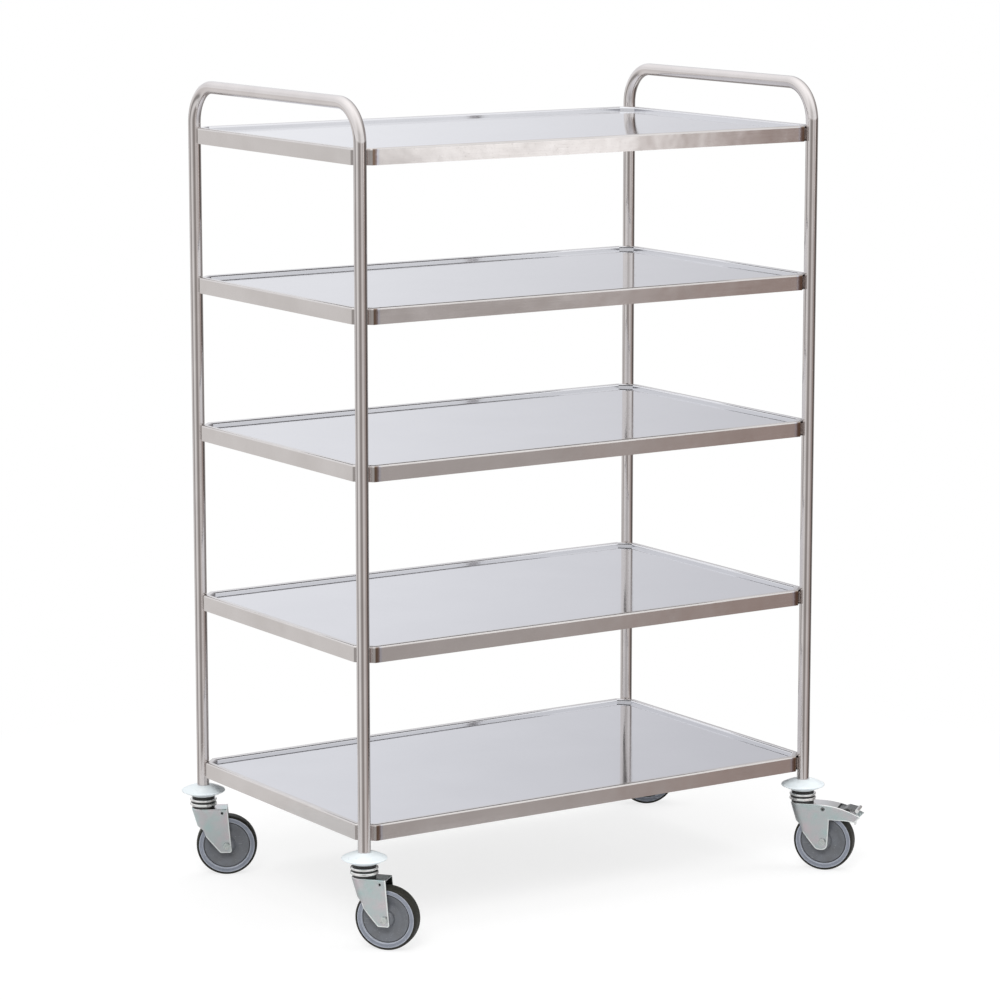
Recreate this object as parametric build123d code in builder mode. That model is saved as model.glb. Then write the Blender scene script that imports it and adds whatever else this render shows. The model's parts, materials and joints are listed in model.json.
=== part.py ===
from build123d import *
import math
import os

# A stainless steel serving trolley: two bent-tube end frames, five tray shelves welded between
# them and four swivel castors, two of them with a foot brake. Lengths are in millimetres. +X runs
# along the shelves, the front long side faces -Y, +Z is up, and the origin lies on the floor
# midway between the four posts.

# Tube frame
POST_DIAMETER = 25.0
POST_WALL = 1.5
BEND_RADIUS = 75.0
HANDLE_RISE = 95.0

# Tray shelves
SHELF_LENGTH = 1075.0
SHELF_WIDTH = 650.0
CORNER_CUT = 30.0
APRON_HEIGHT = 32.0
RIM_WIDTH = 14.0
RIM_RADIUS = 4.0
TRAY_DEPTH = 7.0
SHEET = 1.0
FLANGE_WIDTH = 14.0
SHELF_CLEARANCE = 19.5
LOWER_PITCH = 350.0
UPPER_PITCH = 300.0

# Channel welded under each deck
CHANNEL_HEIGHT = 15.0
CHANNEL_CROWN = 40.0
CHANNEL_FLANGE = 16.0
CHANNEL_SLOPE = 5.0
CHANNEL_END_GAP = 40.0

# Weld seams between a cut corner and its post
SEAT_GAP = 0.05
WELD_START = 4.0
WELD_REACH = 8.0
WELD_TOE = 9.5
WELD_INSET = 2.0

# Wheels
WHEEL_DIAMETER = 125.0
TREAD_WIDTH = 32.0
TYRE_THICKNESS = 5.0
TYRE_SHOULDER = 2.5
RIM_INSET = 1.2
RIM_RING = 9.5
WEB_RECESS = 5.0
HUB_DIAMETER = 34.0
HUB_PROUD = 3.0
HUB_CLEARANCE = 1.0
BUSH_DIAMETER = 12.0
AXLE_DIAMETER = 8.0
AXLE_HEAD_ACROSS = 13.0
AXLE_HEAD_HEIGHT = 5.5
AXLE_NUT_HEIGHT = 6.5
AXLE_END = 2.0
RUNNING_CLEARANCE = 0.05

# Fork
TRAIL = 47.0
FORK_SHEET = 2.5
FORK_FOLD = 2.2
FORK_FRONT = 25.0
FRONT_ROUND = 20.0
FRONT_ARCH = 10.0
CROWN_CLEARANCE = 13.5
CROWN_BEHIND = 2.0
SHOULDER_BACK = 12.0
SHOULDER_DROP = 39.0
TIP_AHEAD = 13.0
TIP_BEHIND = 10.0
TIP_BELOW = 14.0
TIP_ROUND = 4.0
SPARE_HOLE_DIAMETER = 5.5
SPARE_HOLE_AHEAD = 9.0
PIVOT_DROP = 9.0

# Swivel
CUP_DIAMETER = 55.0
CUP_WAIST = 46.0
CUP_HEIGHT = 11.0
CUP_RING = 6.0
RING_ROUND = 2.0
RACE_DIAMETER = 42.0
RACE_DEPTH = 3.0
RACE_GAP = 3.5
SEAL_WALL = 4.5
SEAL_RUN = 0.3
HEAD_DIAMETER = 55.0
HEAD_HEIGHT = 5.0
NECK_DIAMETER = 46.0
NECK_HEIGHT = 6.0
BOLT_DIAMETER = 12.0
BOLT_FLANGE = 26.0
BOLT_FLANGE_HEIGHT = 2.5
BOLT_HEAD_ACROSS = 18.0
BOLT_HEAD_HEIGHT = 7.0
BOLT_END_GAP = 5.0
BOLT_RUN = 0.3

# Bumper disc and post socket
BUMPER_DIAMETER = 90.0
BUMPER_FOOT = 50.0
BUMPER_LIP = 3.0
BUMPER_UNDER = 10.5
BUMPER_OVER = 11.5
BUMPER_COLLAR = 3.0
BUMPER_SWELL = 1.5
SEAT_DEPTH = 3.0
SOCKET_LENGTH = 40.0

# Foot brake
HOOD_START = 38.0
HOOD_REACH = 79.0
HOOD_END_DROP = 21.0
HOOD_END_DEPTH = 12.0
HOOD_TIP_BELOW = 17.0
HOOD_TIP_ROUND = 12.0
HOOD_OPENING = 30.0
NOTCH_REACH = 48.0
NOTCH_DROP = 15.0
PIVOT_DIAMETER = 6.0
PIVOT_HEAD = 9.0
PIVOT_HEAD_HEIGHT = 1.8
PEDAL_SHEET = 2.5
PEDAL_SIDE_GAP = 1.5
PEDAL_BOSS = 11.0
PEDAL_FLAT = 41.0
PEDAL_STEP = 9.0
PEDAL_LIFT = 4.0
PEDAL_REACH = 71.0
PEDAL_BEND = 4.0
PEDAL_TIP = 8.0
PEDAL_TAIL_WIDTH = 12.0
PEDAL_TAIL_PLACE = 65.0
PEDAL_TAIL_DROP = 32.0
PEDAL_TRAVEL = 9.0
PAD_START = 17.0
PAD_LENGTH = 22.0
PAD_WIDTH = 26.0
PAD_GAP = 0.5

# Corners of the frame: side along X, side along Y and the heading in which the castor trails
CORNERS = {
    "front_left": (-1, -1, -50.0),
    "back_left": (-1, 1, -30.0),
    "front_right": (1, -1, -50.0),
    "back_right": (1, 1, -25.0),
}
BRAKED = ("front_right", "back_right")

# Heights, worked upwards from the floor
AXLE_Z = WHEEL_DIAMETER / 2
CROWN_UNDER = WHEEL_DIAMETER + CROWN_CLEARANCE
CROWN_TOP = CROWN_UNDER + FORK_SHEET
CUP_TOP = CROWN_TOP + CUP_HEIGHT
HEAD_UNDER = CUP_TOP + RACE_GAP
NECK_UNDER = HEAD_UNDER + HEAD_HEIGHT
BUMPER_UNDERSIDE = NECK_UNDER + NECK_HEIGHT
BUMPER_RIM = BUMPER_UNDERSIDE + BUMPER_UNDER
BUMPER_TOP = BUMPER_RIM + BUMPER_OVER
POST_END = BUMPER_TOP - SEAT_DEPTH
BOTTOM_SHELF_Z = BUMPER_TOP + SHELF_CLEARANCE
SHELF_UNDERSIDES = {
    "bottom": BOTTOM_SHELF_Z,
    "lower": BOTTOM_SHELF_Z + LOWER_PITCH,
    "middle": BOTTOM_SHELF_Z + 2 * LOWER_PITCH,
    "upper": BOTTOM_SHELF_Z + 2 * LOWER_PITCH + UPPER_PITCH,
    "top": BOTTOM_SHELF_Z + 2 * LOWER_PITCH + 2 * UPPER_PITCH,
}
HANDLE_TOP = SHELF_UNDERSIDES["top"] + APRON_HEIGHT + HANDLE_RISE

# Places in plan: the post touches the middle of the cut corner
POST_RADIUS = POST_DIAMETER / 2
SEAT_OFFSET = (POST_RADIUS + SEAT_GAP) / math.sqrt(2)
CUT_X = SHELF_LENGTH / 2 - CORNER_CUT / 2
CUT_Y = SHELF_WIDTH / 2 - CORNER_CUT / 2
POST_X = CUT_X + SEAT_OFFSET
POST_Y = CUT_Y + SEAT_OFFSET

# Widths across the fork
HUB_LENGTH = TREAD_WIDTH + 2 * HUB_PROUD
FORK_GAP = HUB_LENGTH + 2 * HUB_CLEARANCE
FORK_INNER = FORK_GAP / 2
FORK_OUTER = FORK_INNER + FORK_SHEET
FORK_REACH = TRAIL + HOOD_REACH + FORK_OUTER
SHOULDER_Z = CROWN_TOP - SHOULDER_DROP
PIVOT_Z = CROWN_TOP - PIVOT_DROP
BORE = BOLT_DIAMETER / 2 + RUNNING_CLEARANCE
UP = (0, 0, 1)


def save(piece, name):
    """Label a finished piece and write it under its own name."""
    piece.part.label = name
    export_step(piece.part, f"parts/{name}.step")


def castor_planes(name):
    """Floor plane under a post, upright plane through the wheel and plane through its axle."""
    side_x, side_y, heading = CORNERS[name]
    turn = math.radians(heading)
    along = (math.cos(turn), math.sin(turn), 0)
    across = (math.sin(turn), -math.cos(turn), 0)
    foot = (side_x * POST_X, side_y * POST_Y, 0)
    base = Plane(origin=foot, x_dir=along, z_dir=UP)
    upright = Plane(origin=foot, x_dir=along, z_dir=across)
    hub = upright.from_local_coords((TRAIL, AXLE_Z, 0))
    axle = Plane(origin=hub, x_dir=across, z_dir=UP)
    return base, upright, axle


def swivel_axis(name):
    """Upright axis of a post and its castor."""
    side_x, side_y, _ = CORNERS[name]
    return Axis((side_x * POST_X, side_y * POST_Y, 0), UP)


def end_frame(side_x):
    """One bent tube: two posts and the handle between them."""
    handle_z = HANDLE_TOP - POST_RADIUS
    x = side_x * POST_X
    with BuildPart() as frame:
        with BuildLine() as route:
            FilletPolyline(
                (x, -POST_Y, POST_END),
                (x, -POST_Y, handle_z),
                (x, POST_Y, handle_z),
                (x, POST_Y, POST_END),
                radius=BEND_RADIUS,
            )
        with BuildSketch(Plane(origin=route.line @ 0, z_dir=route.line % 0)):
            Circle(POST_RADIUS)
            Circle(POST_RADIUS - POST_WALL, mode=Mode.SUBTRACT)
        sweep()
    return frame


def cut_rectangle(inset):
    """Shelf outline with cut corners, drawn in from the outer edge by an even inset."""
    with BuildSketch() as outline:
        Rectangle(SHELF_LENGTH - 2 * inset, SHELF_WIDTH - 2 * inset)
        chamfer(outline.vertices(), CORNER_CUT - (2 - math.sqrt(2)) * inset)
    return outline.sketch


def shelf(underside):
    """Pressed tray: sunk deck, rounded rim, deep apron and a flange turned in below."""
    top = underside + APRON_HEIGHT
    outer = cut_rectangle(0)
    inner = cut_rectangle(RIM_WIDTH)
    flange_outer = cut_rectangle(SHEET / 2)
    flange_inner = cut_rectangle(FLANGE_WIDTH)
    with BuildPart() as tray:
        with BuildSketch(Plane.XY.offset(underside)):
            add(outer)
        extrude(amount=APRON_HEIGHT)
        with BuildSketch(Plane.XY.offset(top)):
            add(inner)
        extrude(amount=-TRAY_DEPTH, mode=Mode.SUBTRACT)
        fillet(tray.edges().group_by(Axis.Z)[-1], RIM_RADIUS)
        offset(amount=-SHEET, openings=tray.faces().sort_by(Axis.Z)[0])
        with BuildSketch(Plane.XY.offset(underside)):
            add(flange_outer)
            add(flange_inner, mode=Mode.SUBTRACT)
        extrude(amount=SHEET)
    return tray


def channel(underside):
    """Hat-section channel under a deck, running along the shelf."""
    deck_under = underside + APRON_HEIGHT - TRAY_DEPTH - SHEET
    high = deck_under - SHEET / 2
    low = deck_under - CHANNEL_HEIGHT + SHEET / 2
    half = CHANNEL_CROWN / 2
    length = SHELF_LENGTH - 2 * (RIM_WIDTH + CHANNEL_END_GAP)
    with BuildPart() as stiffener:
        with BuildSketch(Plane.YZ.offset(-length / 2)):
            with BuildLine():
                Polyline(
                    (-half - CHANNEL_SLOPE - CHANNEL_FLANGE, high),
                    (-half - CHANNEL_SLOPE, high),
                    (-half, low),
                    (half, low),
                    (half + CHANNEL_SLOPE, high),
                    (half + CHANNEL_SLOPE + CHANNEL_FLANGE, high),
                )
            trace(line_width=SHEET)
        extrude(amount=length)
    return stiffener


def post_face(u):
    """Height of the post's surface over the cut corner, at a distance from their touching line."""
    return POST_RADIUS + SEAT_GAP - math.sqrt(POST_RADIUS**2 - u**2)


def weld_seams():
    """Two upright beads at each place where a shelf corner meets a post."""
    middle = (WELD_START + WELD_REACH) / 2
    height = APRON_HEIGHT - RIM_RADIUS - 2 * WELD_INSET
    with BuildPart() as seams:
        for underside in SHELF_UNDERSIDES.values():
            for side_x, side_y, _ in CORNERS.values():
                corner = Plane(
                    origin=(side_x * CUT_X, side_y * CUT_Y, underside + WELD_INSET),
                    x_dir=(side_y, -side_x, 0),
                    z_dir=UP,
                )
                with BuildSketch(corner):
                    with BuildLine():
                        Polyline(
                            (WELD_START, post_face(WELD_START)),
                            (WELD_START, 0),
                            (WELD_TOE, 0),
                            (WELD_REACH, post_face(WELD_REACH)),
                        )
                        ThreePointArc(
                            (WELD_REACH, post_face(WELD_REACH)),
                            (middle, post_face(middle)),
                            (WELD_START, post_face(WELD_START)),
                        )
                    make_face()
                    mirror(about=Plane.YZ)
                extrude(amount=height)
    return seams


def tube_sockets():
    """Threaded plugs in the lower ends of the four posts."""
    with BuildPart() as sockets:
        for name in CORNERS:
            base, _, _ = castor_planes(name)
            with BuildSketch(base.offset(POST_END)):
                Circle(POST_RADIUS - POST_WALL)
                Circle(BORE, mode=Mode.SUBTRACT)
            extrude(amount=SOCKET_LENGTH)
    return sockets


def castor_bolts():
    """Flanged bolts that hold the castors, from inside the fork up into the sockets."""
    seat = CROWN_UNDER - BOLT_RUN
    flange_under = seat - BOLT_FLANGE_HEIGHT
    tip = POST_END + SOCKET_LENGTH - BOLT_END_GAP
    with BuildPart() as bolts:
        for name in CORNERS:
            base, _, _ = castor_planes(name)
            with BuildSketch(base.offset(flange_under - BOLT_HEAD_HEIGHT)):
                RegularPolygon(BOLT_HEAD_ACROSS / 2, 6, major_radius=False)
            extrude(amount=BOLT_HEAD_HEIGHT)
            with BuildSketch(base.offset(flange_under)):
                Circle(BOLT_FLANGE / 2)
            extrude(amount=BOLT_FLANGE_HEIGHT)
            with BuildSketch(base.offset(seat)):
                Circle(BOLT_DIAMETER / 2)
            extrude(amount=tip - seat)
    return bolts


def bumpers():
    """Round bumper discs between the post ends and the castor heads."""
    rim = BUMPER_DIAMETER / 2
    lip = BUMPER_LIP / 2
    seat = POST_RADIUS + SEAT_GAP
    collar = seat + BUMPER_COLLAR
    halfway = ((rim - lip + collar) / 2, (BUMPER_RIM + lip + BUMPER_TOP) / 2 + BUMPER_SWELL)
    with BuildPart() as discs:
        for name in CORNERS:
            _, upright, _ = castor_planes(name)
            with BuildSketch(upright):
                with BuildLine():
                    Polyline(
                        (collar, BUMPER_TOP),
                        (seat, BUMPER_TOP),
                        (seat, POST_END),
                        (BORE, POST_END),
                        (BORE, BUMPER_UNDERSIDE),
                        (BUMPER_FOOT / 2, BUMPER_UNDERSIDE),
                        (rim - lip, BUMPER_RIM - lip),
                    )
                    ThreePointArc(
                        (rim - lip, BUMPER_RIM - lip), (rim, BUMPER_RIM), (rim - lip, BUMPER_RIM + lip)
                    )
                    ThreePointArc((rim - lip, BUMPER_RIM + lip), halfway, (collar, BUMPER_TOP))
                make_face()
            revolve(axis=swivel_axis(name))
    return discs


def castor_heads():
    """Fixed upper rings of the swivels, each with a neck that is clamped under its bumper disc."""
    radius = HEAD_DIAMETER / 2
    with BuildPart() as heads:
        for name in CORNERS:
            _, upright, _ = castor_planes(name)
            with BuildSketch(upright) as section:
                with BuildLine():
                    Polyline(
                        (BORE, HEAD_UNDER),
                        (radius, HEAD_UNDER),
                        (radius, NECK_UNDER),
                        (NECK_DIAMETER / 2, NECK_UNDER),
                        (NECK_DIAMETER / 2, BUMPER_UNDERSIDE),
                        (BORE, BUMPER_UNDERSIDE),
                        close=True,
                    )
                make_face()
                fillet(section.vertices().group_by(Axis.X)[-1], RING_ROUND)
            revolve(axis=swivel_axis(name))
    return heads


def swivel_seal(name):
    """Dark ring that fills the gap between the two cups."""
    base, _, _ = castor_planes(name)
    with BuildPart() as seal:
        with BuildSketch(base.offset(CUP_TOP)):
            Circle(RACE_DIAMETER / 2 + SEAL_WALL)
            Circle(RACE_DIAMETER / 2, mode=Mode.SUBTRACT)
        extrude(amount=RACE_GAP - SEAL_RUN)
    return seal


def front_x(height):
    """Place of a fork's slanting front at a height, along the heading of the castor."""
    return SHOULDER_BACK * (CROWN_TOP - height) / SHOULDER_DROP - FORK_FRONT


def plain_fork_side():
    """Side outline of a fork without a brake."""
    with BuildSketch() as outline:
        with BuildLine():
            Polyline(
                (front_x(CROWN_TOP), CROWN_TOP),
                (front_x(SHOULDER_Z), SHOULDER_Z),
                (TRAIL - TIP_AHEAD, AXLE_Z - TIP_BELOW),
                (TRAIL + TIP_BEHIND, AXLE_Z - TIP_BELOW),
                (TRAIL + CROWN_BEHIND, CROWN_TOP),
                close=True,
            )
        make_face()
        fillet(outline.vertices().group_by(Axis.Y)[0], TIP_ROUND)
    return outline.sketch


def hood_arc(drop):
    """Curved top of the brake hood, level with the crown where it starts and lowered by a drop."""
    TangentArc(
        (HOOD_START, CROWN_TOP - drop),
        (TRAIL + HOOD_REACH, CROWN_TOP - HOOD_END_DROP - drop),
        tangent=(1, 0),
    )


def braked_fork_side():
    """Side outline of a fork whose sides run back over the wheel as a brake hood."""
    hood_end = TRAIL + HOOD_REACH
    with BuildSketch() as outline:
        with BuildLine():
            hood_arc(0)
            Polyline(
                (hood_end, CROWN_TOP - HOOD_END_DROP),
                (hood_end - HOOD_END_DEPTH, CROWN_TOP - HOOD_END_DROP - HOOD_END_DEPTH),
                (TRAIL + NOTCH_REACH, WHEEL_DIAMETER - NOTCH_DROP),
                (TRAIL + TIP_AHEAD, WHEEL_DIAMETER - NOTCH_DROP),
                (TRAIL + TIP_BEHIND, AXLE_Z - HOOD_TIP_BELOW),
                (TRAIL - TIP_AHEAD, AXLE_Z - HOOD_TIP_BELOW),
                (front_x(SHOULDER_Z), SHOULDER_Z),
                (front_x(CROWN_TOP), CROWN_TOP),
                (HOOD_START, CROWN_TOP),
            )
        make_face()
        fillet(outline.vertices().group_by(Axis.Y)[0], HOOD_TIP_ROUND)
    return outline.sketch


def cavity_side(braked):
    """Side outline of the space under a crown, and under the brake hood where there is one."""
    wall = FORK_SHEET * math.hypot(1, SHOULDER_BACK / SHOULDER_DROP)
    end_drop = HOOD_END_DROP if braked else 0
    with BuildSketch() as outline:
        with BuildLine():
            if braked:
                hood_arc(FORK_SHEET)
            else:
                Line((HOOD_START, CROWN_UNDER), (TRAIL + HOOD_REACH, CROWN_UNDER))
            Polyline(
                (TRAIL + HOOD_REACH, CROWN_UNDER - end_drop),
                (FORK_REACH, CROWN_UNDER - end_drop),
                (FORK_REACH, 0),
                (front_x(0) + wall, 0),
                (front_x(CROWN_UNDER) + wall, CROWN_UNDER),
                (HOOD_START, CROWN_UNDER),
            )
        make_face()
    return outline.sketch


def round_front(body, upright, radius):
    """Round the two upright edges of a slanting front."""
    front = body.faces().sort_by(Axis(upright.origin, upright.x_dir))[0]
    fillet(front.edges().filter_by(Axis(upright.origin, upright.z_dir), reverse=True), radius)


def fork_cavity(name):
    """Space between the sides of a fork, open behind and below, arched under its front."""
    base, upright, _ = castor_planes(name)
    side = cavity_side(name in BRAKED)
    with BuildPart() as cavity:
        with BuildSketch(upright):
            add(side)
        extrude(amount=FORK_INNER, both=True)
        round_front(cavity, upright, FRONT_ROUND - FORK_SHEET)
        with BuildSketch(Plane(origin=base.origin, x_dir=base.y_dir, z_dir=base.x_dir)) as arch:
            with Locations((0, SHOULDER_Z / 2)):
                Rectangle(FORK_GAP, SHOULDER_Z)
            fillet(arch.vertices().group_by(Axis.Y)[-1], FRONT_ARCH)
        extrude(amount=FORK_REACH)
        extrude(arch.sketch, amount=-FORK_FRONT)
    return cavity


def fork(name):
    """Pressed fork with the lower cup of the swivel, a ring on a waist, on its crown."""
    base, upright, _ = castor_planes(name)
    braked = name in BRAKED
    cavity = fork_cavity(name)
    side = braked_fork_side() if braked else plain_fork_side()
    heading = Axis(base.origin, base.x_dir)
    across = Axis(base.origin, base.y_dir)
    with BuildPart() as pressing:
        with BuildSketch(upright):
            add(side)
        extrude(amount=FORK_OUTER, both=True)
        round_front(pressing, upright, FRONT_ROUND)
        crown = pressing.faces().filter_by(Axis.Z).sort_by(Axis.Z)[-1]
        folds = crown.edges().sort_by(heading)[:-1]
        if braked:
            hood = pressing.faces().filter_by(GeomType.CYLINDER).sort_by(heading)[-1]
            folds += hood.edges().filter_by(across, reverse=True)
        fillet(folds, FORK_FOLD)
        add(cavity.part, mode=Mode.SUBTRACT)
        if braked:
            with BuildSketch(base.offset(CROWN_UNDER - HOOD_END_DROP)):
                with Locations(((TRAIL + HOOD_OPENING + FORK_REACH) / 2, 0)):
                    Rectangle(FORK_REACH - TRAIL - HOOD_OPENING, FORK_GAP)
            extrude(amount=HOOD_END_DROP + FORK_SHEET, mode=Mode.SUBTRACT)
        with BuildSketch(upright) as cup:
            with BuildLine():
                Polyline(
                    (0, CROWN_UNDER),
                    (CUP_WAIST / 2, CROWN_TOP),
                    (CUP_WAIST / 2, CUP_TOP - CUP_RING),
                    (CUP_DIAMETER / 2, CUP_TOP - CUP_RING),
                    (CUP_DIAMETER / 2, CUP_TOP),
                    (RACE_DIAMETER / 2, CUP_TOP),
                    (RACE_DIAMETER / 2, CUP_TOP - RACE_DEPTH),
                    (0, CUP_TOP - RACE_DEPTH),
                    close=True,
                )
            make_face()
            fillet(cup.vertices().group_by(Axis.X)[-1], RING_ROUND)
        revolve(axis=swivel_axis(name))
        with BuildSketch(base):
            Circle(BORE)
        extrude(amount=CUP_TOP, mode=Mode.SUBTRACT)
        with BuildSketch(upright):
            with Locations((TRAIL, AXLE_Z)):
                Circle(AXLE_DIAMETER / 2 + RUNNING_CLEARANCE)
            if braked:
                with Locations((TRAIL, PIVOT_Z)):
                    Circle(PIVOT_DIAMETER / 2 + RUNNING_CLEARANCE)
            else:
                with Locations((TRAIL - SPARE_HOLE_AHEAD, PIVOT_Z)):
                    Circle(SPARE_HOLE_DIAMETER / 2)
        extrude(amount=FORK_OUTER, both=True, mode=Mode.SUBTRACT)
    return pressing


def wheel(name):
    """Moulded wheel: rim ring, sunk web and a hub that is longer than the tyre is wide."""
    _, _, axle = castor_planes(name)
    rim_half = TREAD_WIDTH / 2 - RIM_INSET
    web_half = rim_half - WEB_RECESS
    rim_radius = WHEEL_DIAMETER / 2 - TYRE_THICKNESS
    bore = BUSH_DIAMETER / 2 + RUNNING_CLEARANCE
    with BuildPart() as moulding:
        with BuildSketch(axle):
            with BuildLine():
                Polyline(
                    (0, bore),
                    (HUB_LENGTH / 2, bore),
                    (HUB_LENGTH / 2, HUB_DIAMETER / 2),
                    (web_half, HUB_DIAMETER / 2),
                    (web_half, rim_radius - RIM_RING - HUB_PROUD / 2),
                    (rim_half, rim_radius - RIM_RING),
                    (rim_half, rim_radius),
                    (0, rim_radius),
                    close=True,
                )
            make_face()
            mirror(about=Plane.YZ)
        revolve(axis=Axis(axle.origin, axle.x_dir))
    return moulding


def tyre(name):
    """Rubber tyre with round shoulders."""
    _, _, axle = castor_planes(name)
    thickness = TYRE_THICKNESS
    with BuildPart() as rubber:
        with BuildSketch(axle) as section:
            with Locations((0, (WHEEL_DIAMETER - thickness) / 2)):
                Rectangle(TREAD_WIDTH, thickness)
            fillet(section.vertices().group_by(Axis.Y)[-1], TYRE_SHOULDER)
        revolve(axis=Axis(axle.origin, axle.x_dir))
    return rubber


def axle_bush(name):
    """Steel sleeve clamped between the fork sides, on which the wheel turns."""
    _, upright, _ = castor_planes(name)
    with BuildPart() as sleeve:
        with BuildSketch(upright):
            with Locations((TRAIL, AXLE_Z)):
                Circle(BUSH_DIAMETER / 2)
                Circle(AXLE_DIAMETER / 2 + RUNNING_CLEARANCE, mode=Mode.SUBTRACT)
        extrude(amount=FORK_INNER, both=True)
    return sleeve


def axle_bolt(name):
    """Hexagon bolt through the fork sides and the bush."""
    _, upright, _ = castor_planes(name)
    with BuildPart() as bolt:
        with BuildSketch(upright.offset(FORK_OUTER)):
            with Locations((TRAIL, AXLE_Z)):
                RegularPolygon(AXLE_HEAD_ACROSS / 2, 6, major_radius=False)
        extrude(amount=AXLE_HEAD_HEIGHT)
        with BuildSketch(upright.offset(FORK_OUTER)):
            with Locations((TRAIL, AXLE_Z)):
                Circle(AXLE_DIAMETER / 2)
        extrude(amount=-2 * FORK_OUTER - AXLE_NUT_HEIGHT - AXLE_END)
    return bolt


def axle_nut(name):
    """Nut on the far end of the axle bolt."""
    _, upright, _ = castor_planes(name)
    with BuildPart() as nut:
        with BuildSketch(upright.offset(-FORK_OUTER)):
            with Locations((TRAIL, AXLE_Z)):
                RegularPolygon(AXLE_HEAD_ACROSS / 2, 6, major_radius=False)
                Circle(AXLE_DIAMETER / 2 + RUNNING_CLEARANCE, mode=Mode.SUBTRACT)
        extrude(amount=-AXLE_NUT_HEIGHT)
    return nut


def brake_pivot(name):
    """Riveted pin through the sides of the hood, on which the pedal tilts."""
    _, upright, _ = castor_planes(name)
    with BuildPart() as pin:
        with BuildSketch(upright):
            with Locations((TRAIL, PIVOT_Z)):
                Circle(PIVOT_DIAMETER / 2)
        extrude(amount=FORK_OUTER, both=True)
        for side in (-1, 1):
            with BuildSketch(upright.offset(side * FORK_OUTER)):
                with Locations((TRAIL, PIVOT_Z)):
                    Circle(PIVOT_HEAD / 2)
            extrude(amount=side * PIVOT_HEAD_HEIGHT)
    return pin


def brake_pedal(name):
    """Lever on the pivot pin, stepped up behind the hood to a rounded foot tab with a tail."""
    _, upright, _ = castor_planes(name)
    half_width = FORK_INNER - PEDAL_SIDE_GAP
    tab_start = TRAIL + PEDAL_FLAT + PEDAL_STEP
    tip = (TRAIL + PEDAL_REACH, PIVOT_Z)
    tail_x = TRAIL + PEDAL_TAIL_PLACE
    with BuildPart() as lever:
        with BuildSketch(upright):
            with BuildLine():
                FilletPolyline(
                    (TRAIL, PIVOT_Z),
                    (TRAIL + PEDAL_FLAT, PIVOT_Z),
                    (tab_start, PIVOT_Z + PEDAL_LIFT),
                    tip,
                    radius=PEDAL_BEND,
                )
            trace(line_width=PEDAL_SHEET)
            with Locations((TRAIL, PIVOT_Z)):
                Circle(PEDAL_BOSS / 2)
            with Locations(tip):
                Circle(PEDAL_TIP / 2)
        extrude(amount=half_width, both=True)
        with BuildSketch(upright):
            with Locations((tail_x, PIVOT_Z - PEDAL_TAIL_DROP / 2)):
                Rectangle(PEDAL_SHEET, PEDAL_TAIL_DROP + PEDAL_LIFT / 2)
        extrude(amount=PEDAL_TAIL_WIDTH / 2, both=True)
        with BuildSketch(upright):
            with Locations((TRAIL, PIVOT_Z)):
                Circle(PIVOT_DIAMETER / 2 + RUNNING_CLEARANCE)
        extrude(amount=half_width, both=True, mode=Mode.SUBTRACT)
    return lever


def brake_pad(name):
    """Pad under the lever, hollowed to lie on the tyre once the pedal is pressed."""
    _, upright, _ = castor_planes(name)
    travel = math.radians(PEDAL_TRAVEL)
    drop = PIVOT_Z - AXLE_Z
    tyre_centre = (TRAIL + drop * math.sin(travel), PIVOT_Z - drop * math.cos(travel))
    top = PIVOT_Z - PEDAL_SHEET / 2
    depth = top - AXLE_Z
    with BuildPart() as pad:
        with BuildSketch(upright):
            with Locations((TRAIL + PAD_START + PAD_LENGTH / 2, top - depth / 2)):
                Rectangle(PAD_LENGTH, depth)
            with Locations(tyre_centre):
                Circle(WHEEL_DIAMETER / 2 + PAD_GAP, mode=Mode.SUBTRACT)
        extrude(amount=PAD_WIDTH / 2, both=True)
    return pad


os.makedirs("parts", exist_ok=True)

save(end_frame(-1), "end_frame_left")
save(end_frame(1), "end_frame_right")
for level, height in SHELF_UNDERSIDES.items():
    save(shelf(height), f"{level}_shelf")
    save(channel(height), f"{level}_stiffener")
save(weld_seams(), "weld_seams")
save(tube_sockets(), "tube_sockets")
save(castor_bolts(), "castor_bolts")
save(bumpers(), "bumper_discs")
save(castor_heads(), "castor_heads")
for place in CORNERS:
    save(swivel_seal(place), f"swivel_seal_{place}")
    save(fork(place), f"fork_{place}")
    save(wheel(place), f"wheel_{place}")
    save(tyre(place), f"tyre_{place}")
    save(axle_bush(place), f"axle_bush_{place}")
    save(axle_bolt(place), f"axle_bolt_{place}")
    save(axle_nut(place), f"axle_nut_{place}")
for place in BRAKED:
    save(brake_pivot(place), f"brake_pivot_{place}")
    save(brake_pedal(place), f"brake_pedal_{place}")
    save(brake_pad(place), f"brake_pad_{place}")
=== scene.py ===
import json
import logging
import math
from collections.abc import Callable, Iterator, Sequence
from dataclasses import dataclass
from enum import Enum, IntEnum
from itertools import product
from typing import ClassVar

import bmesh
import bpy
from mathutils import Matrix, Vector


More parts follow.
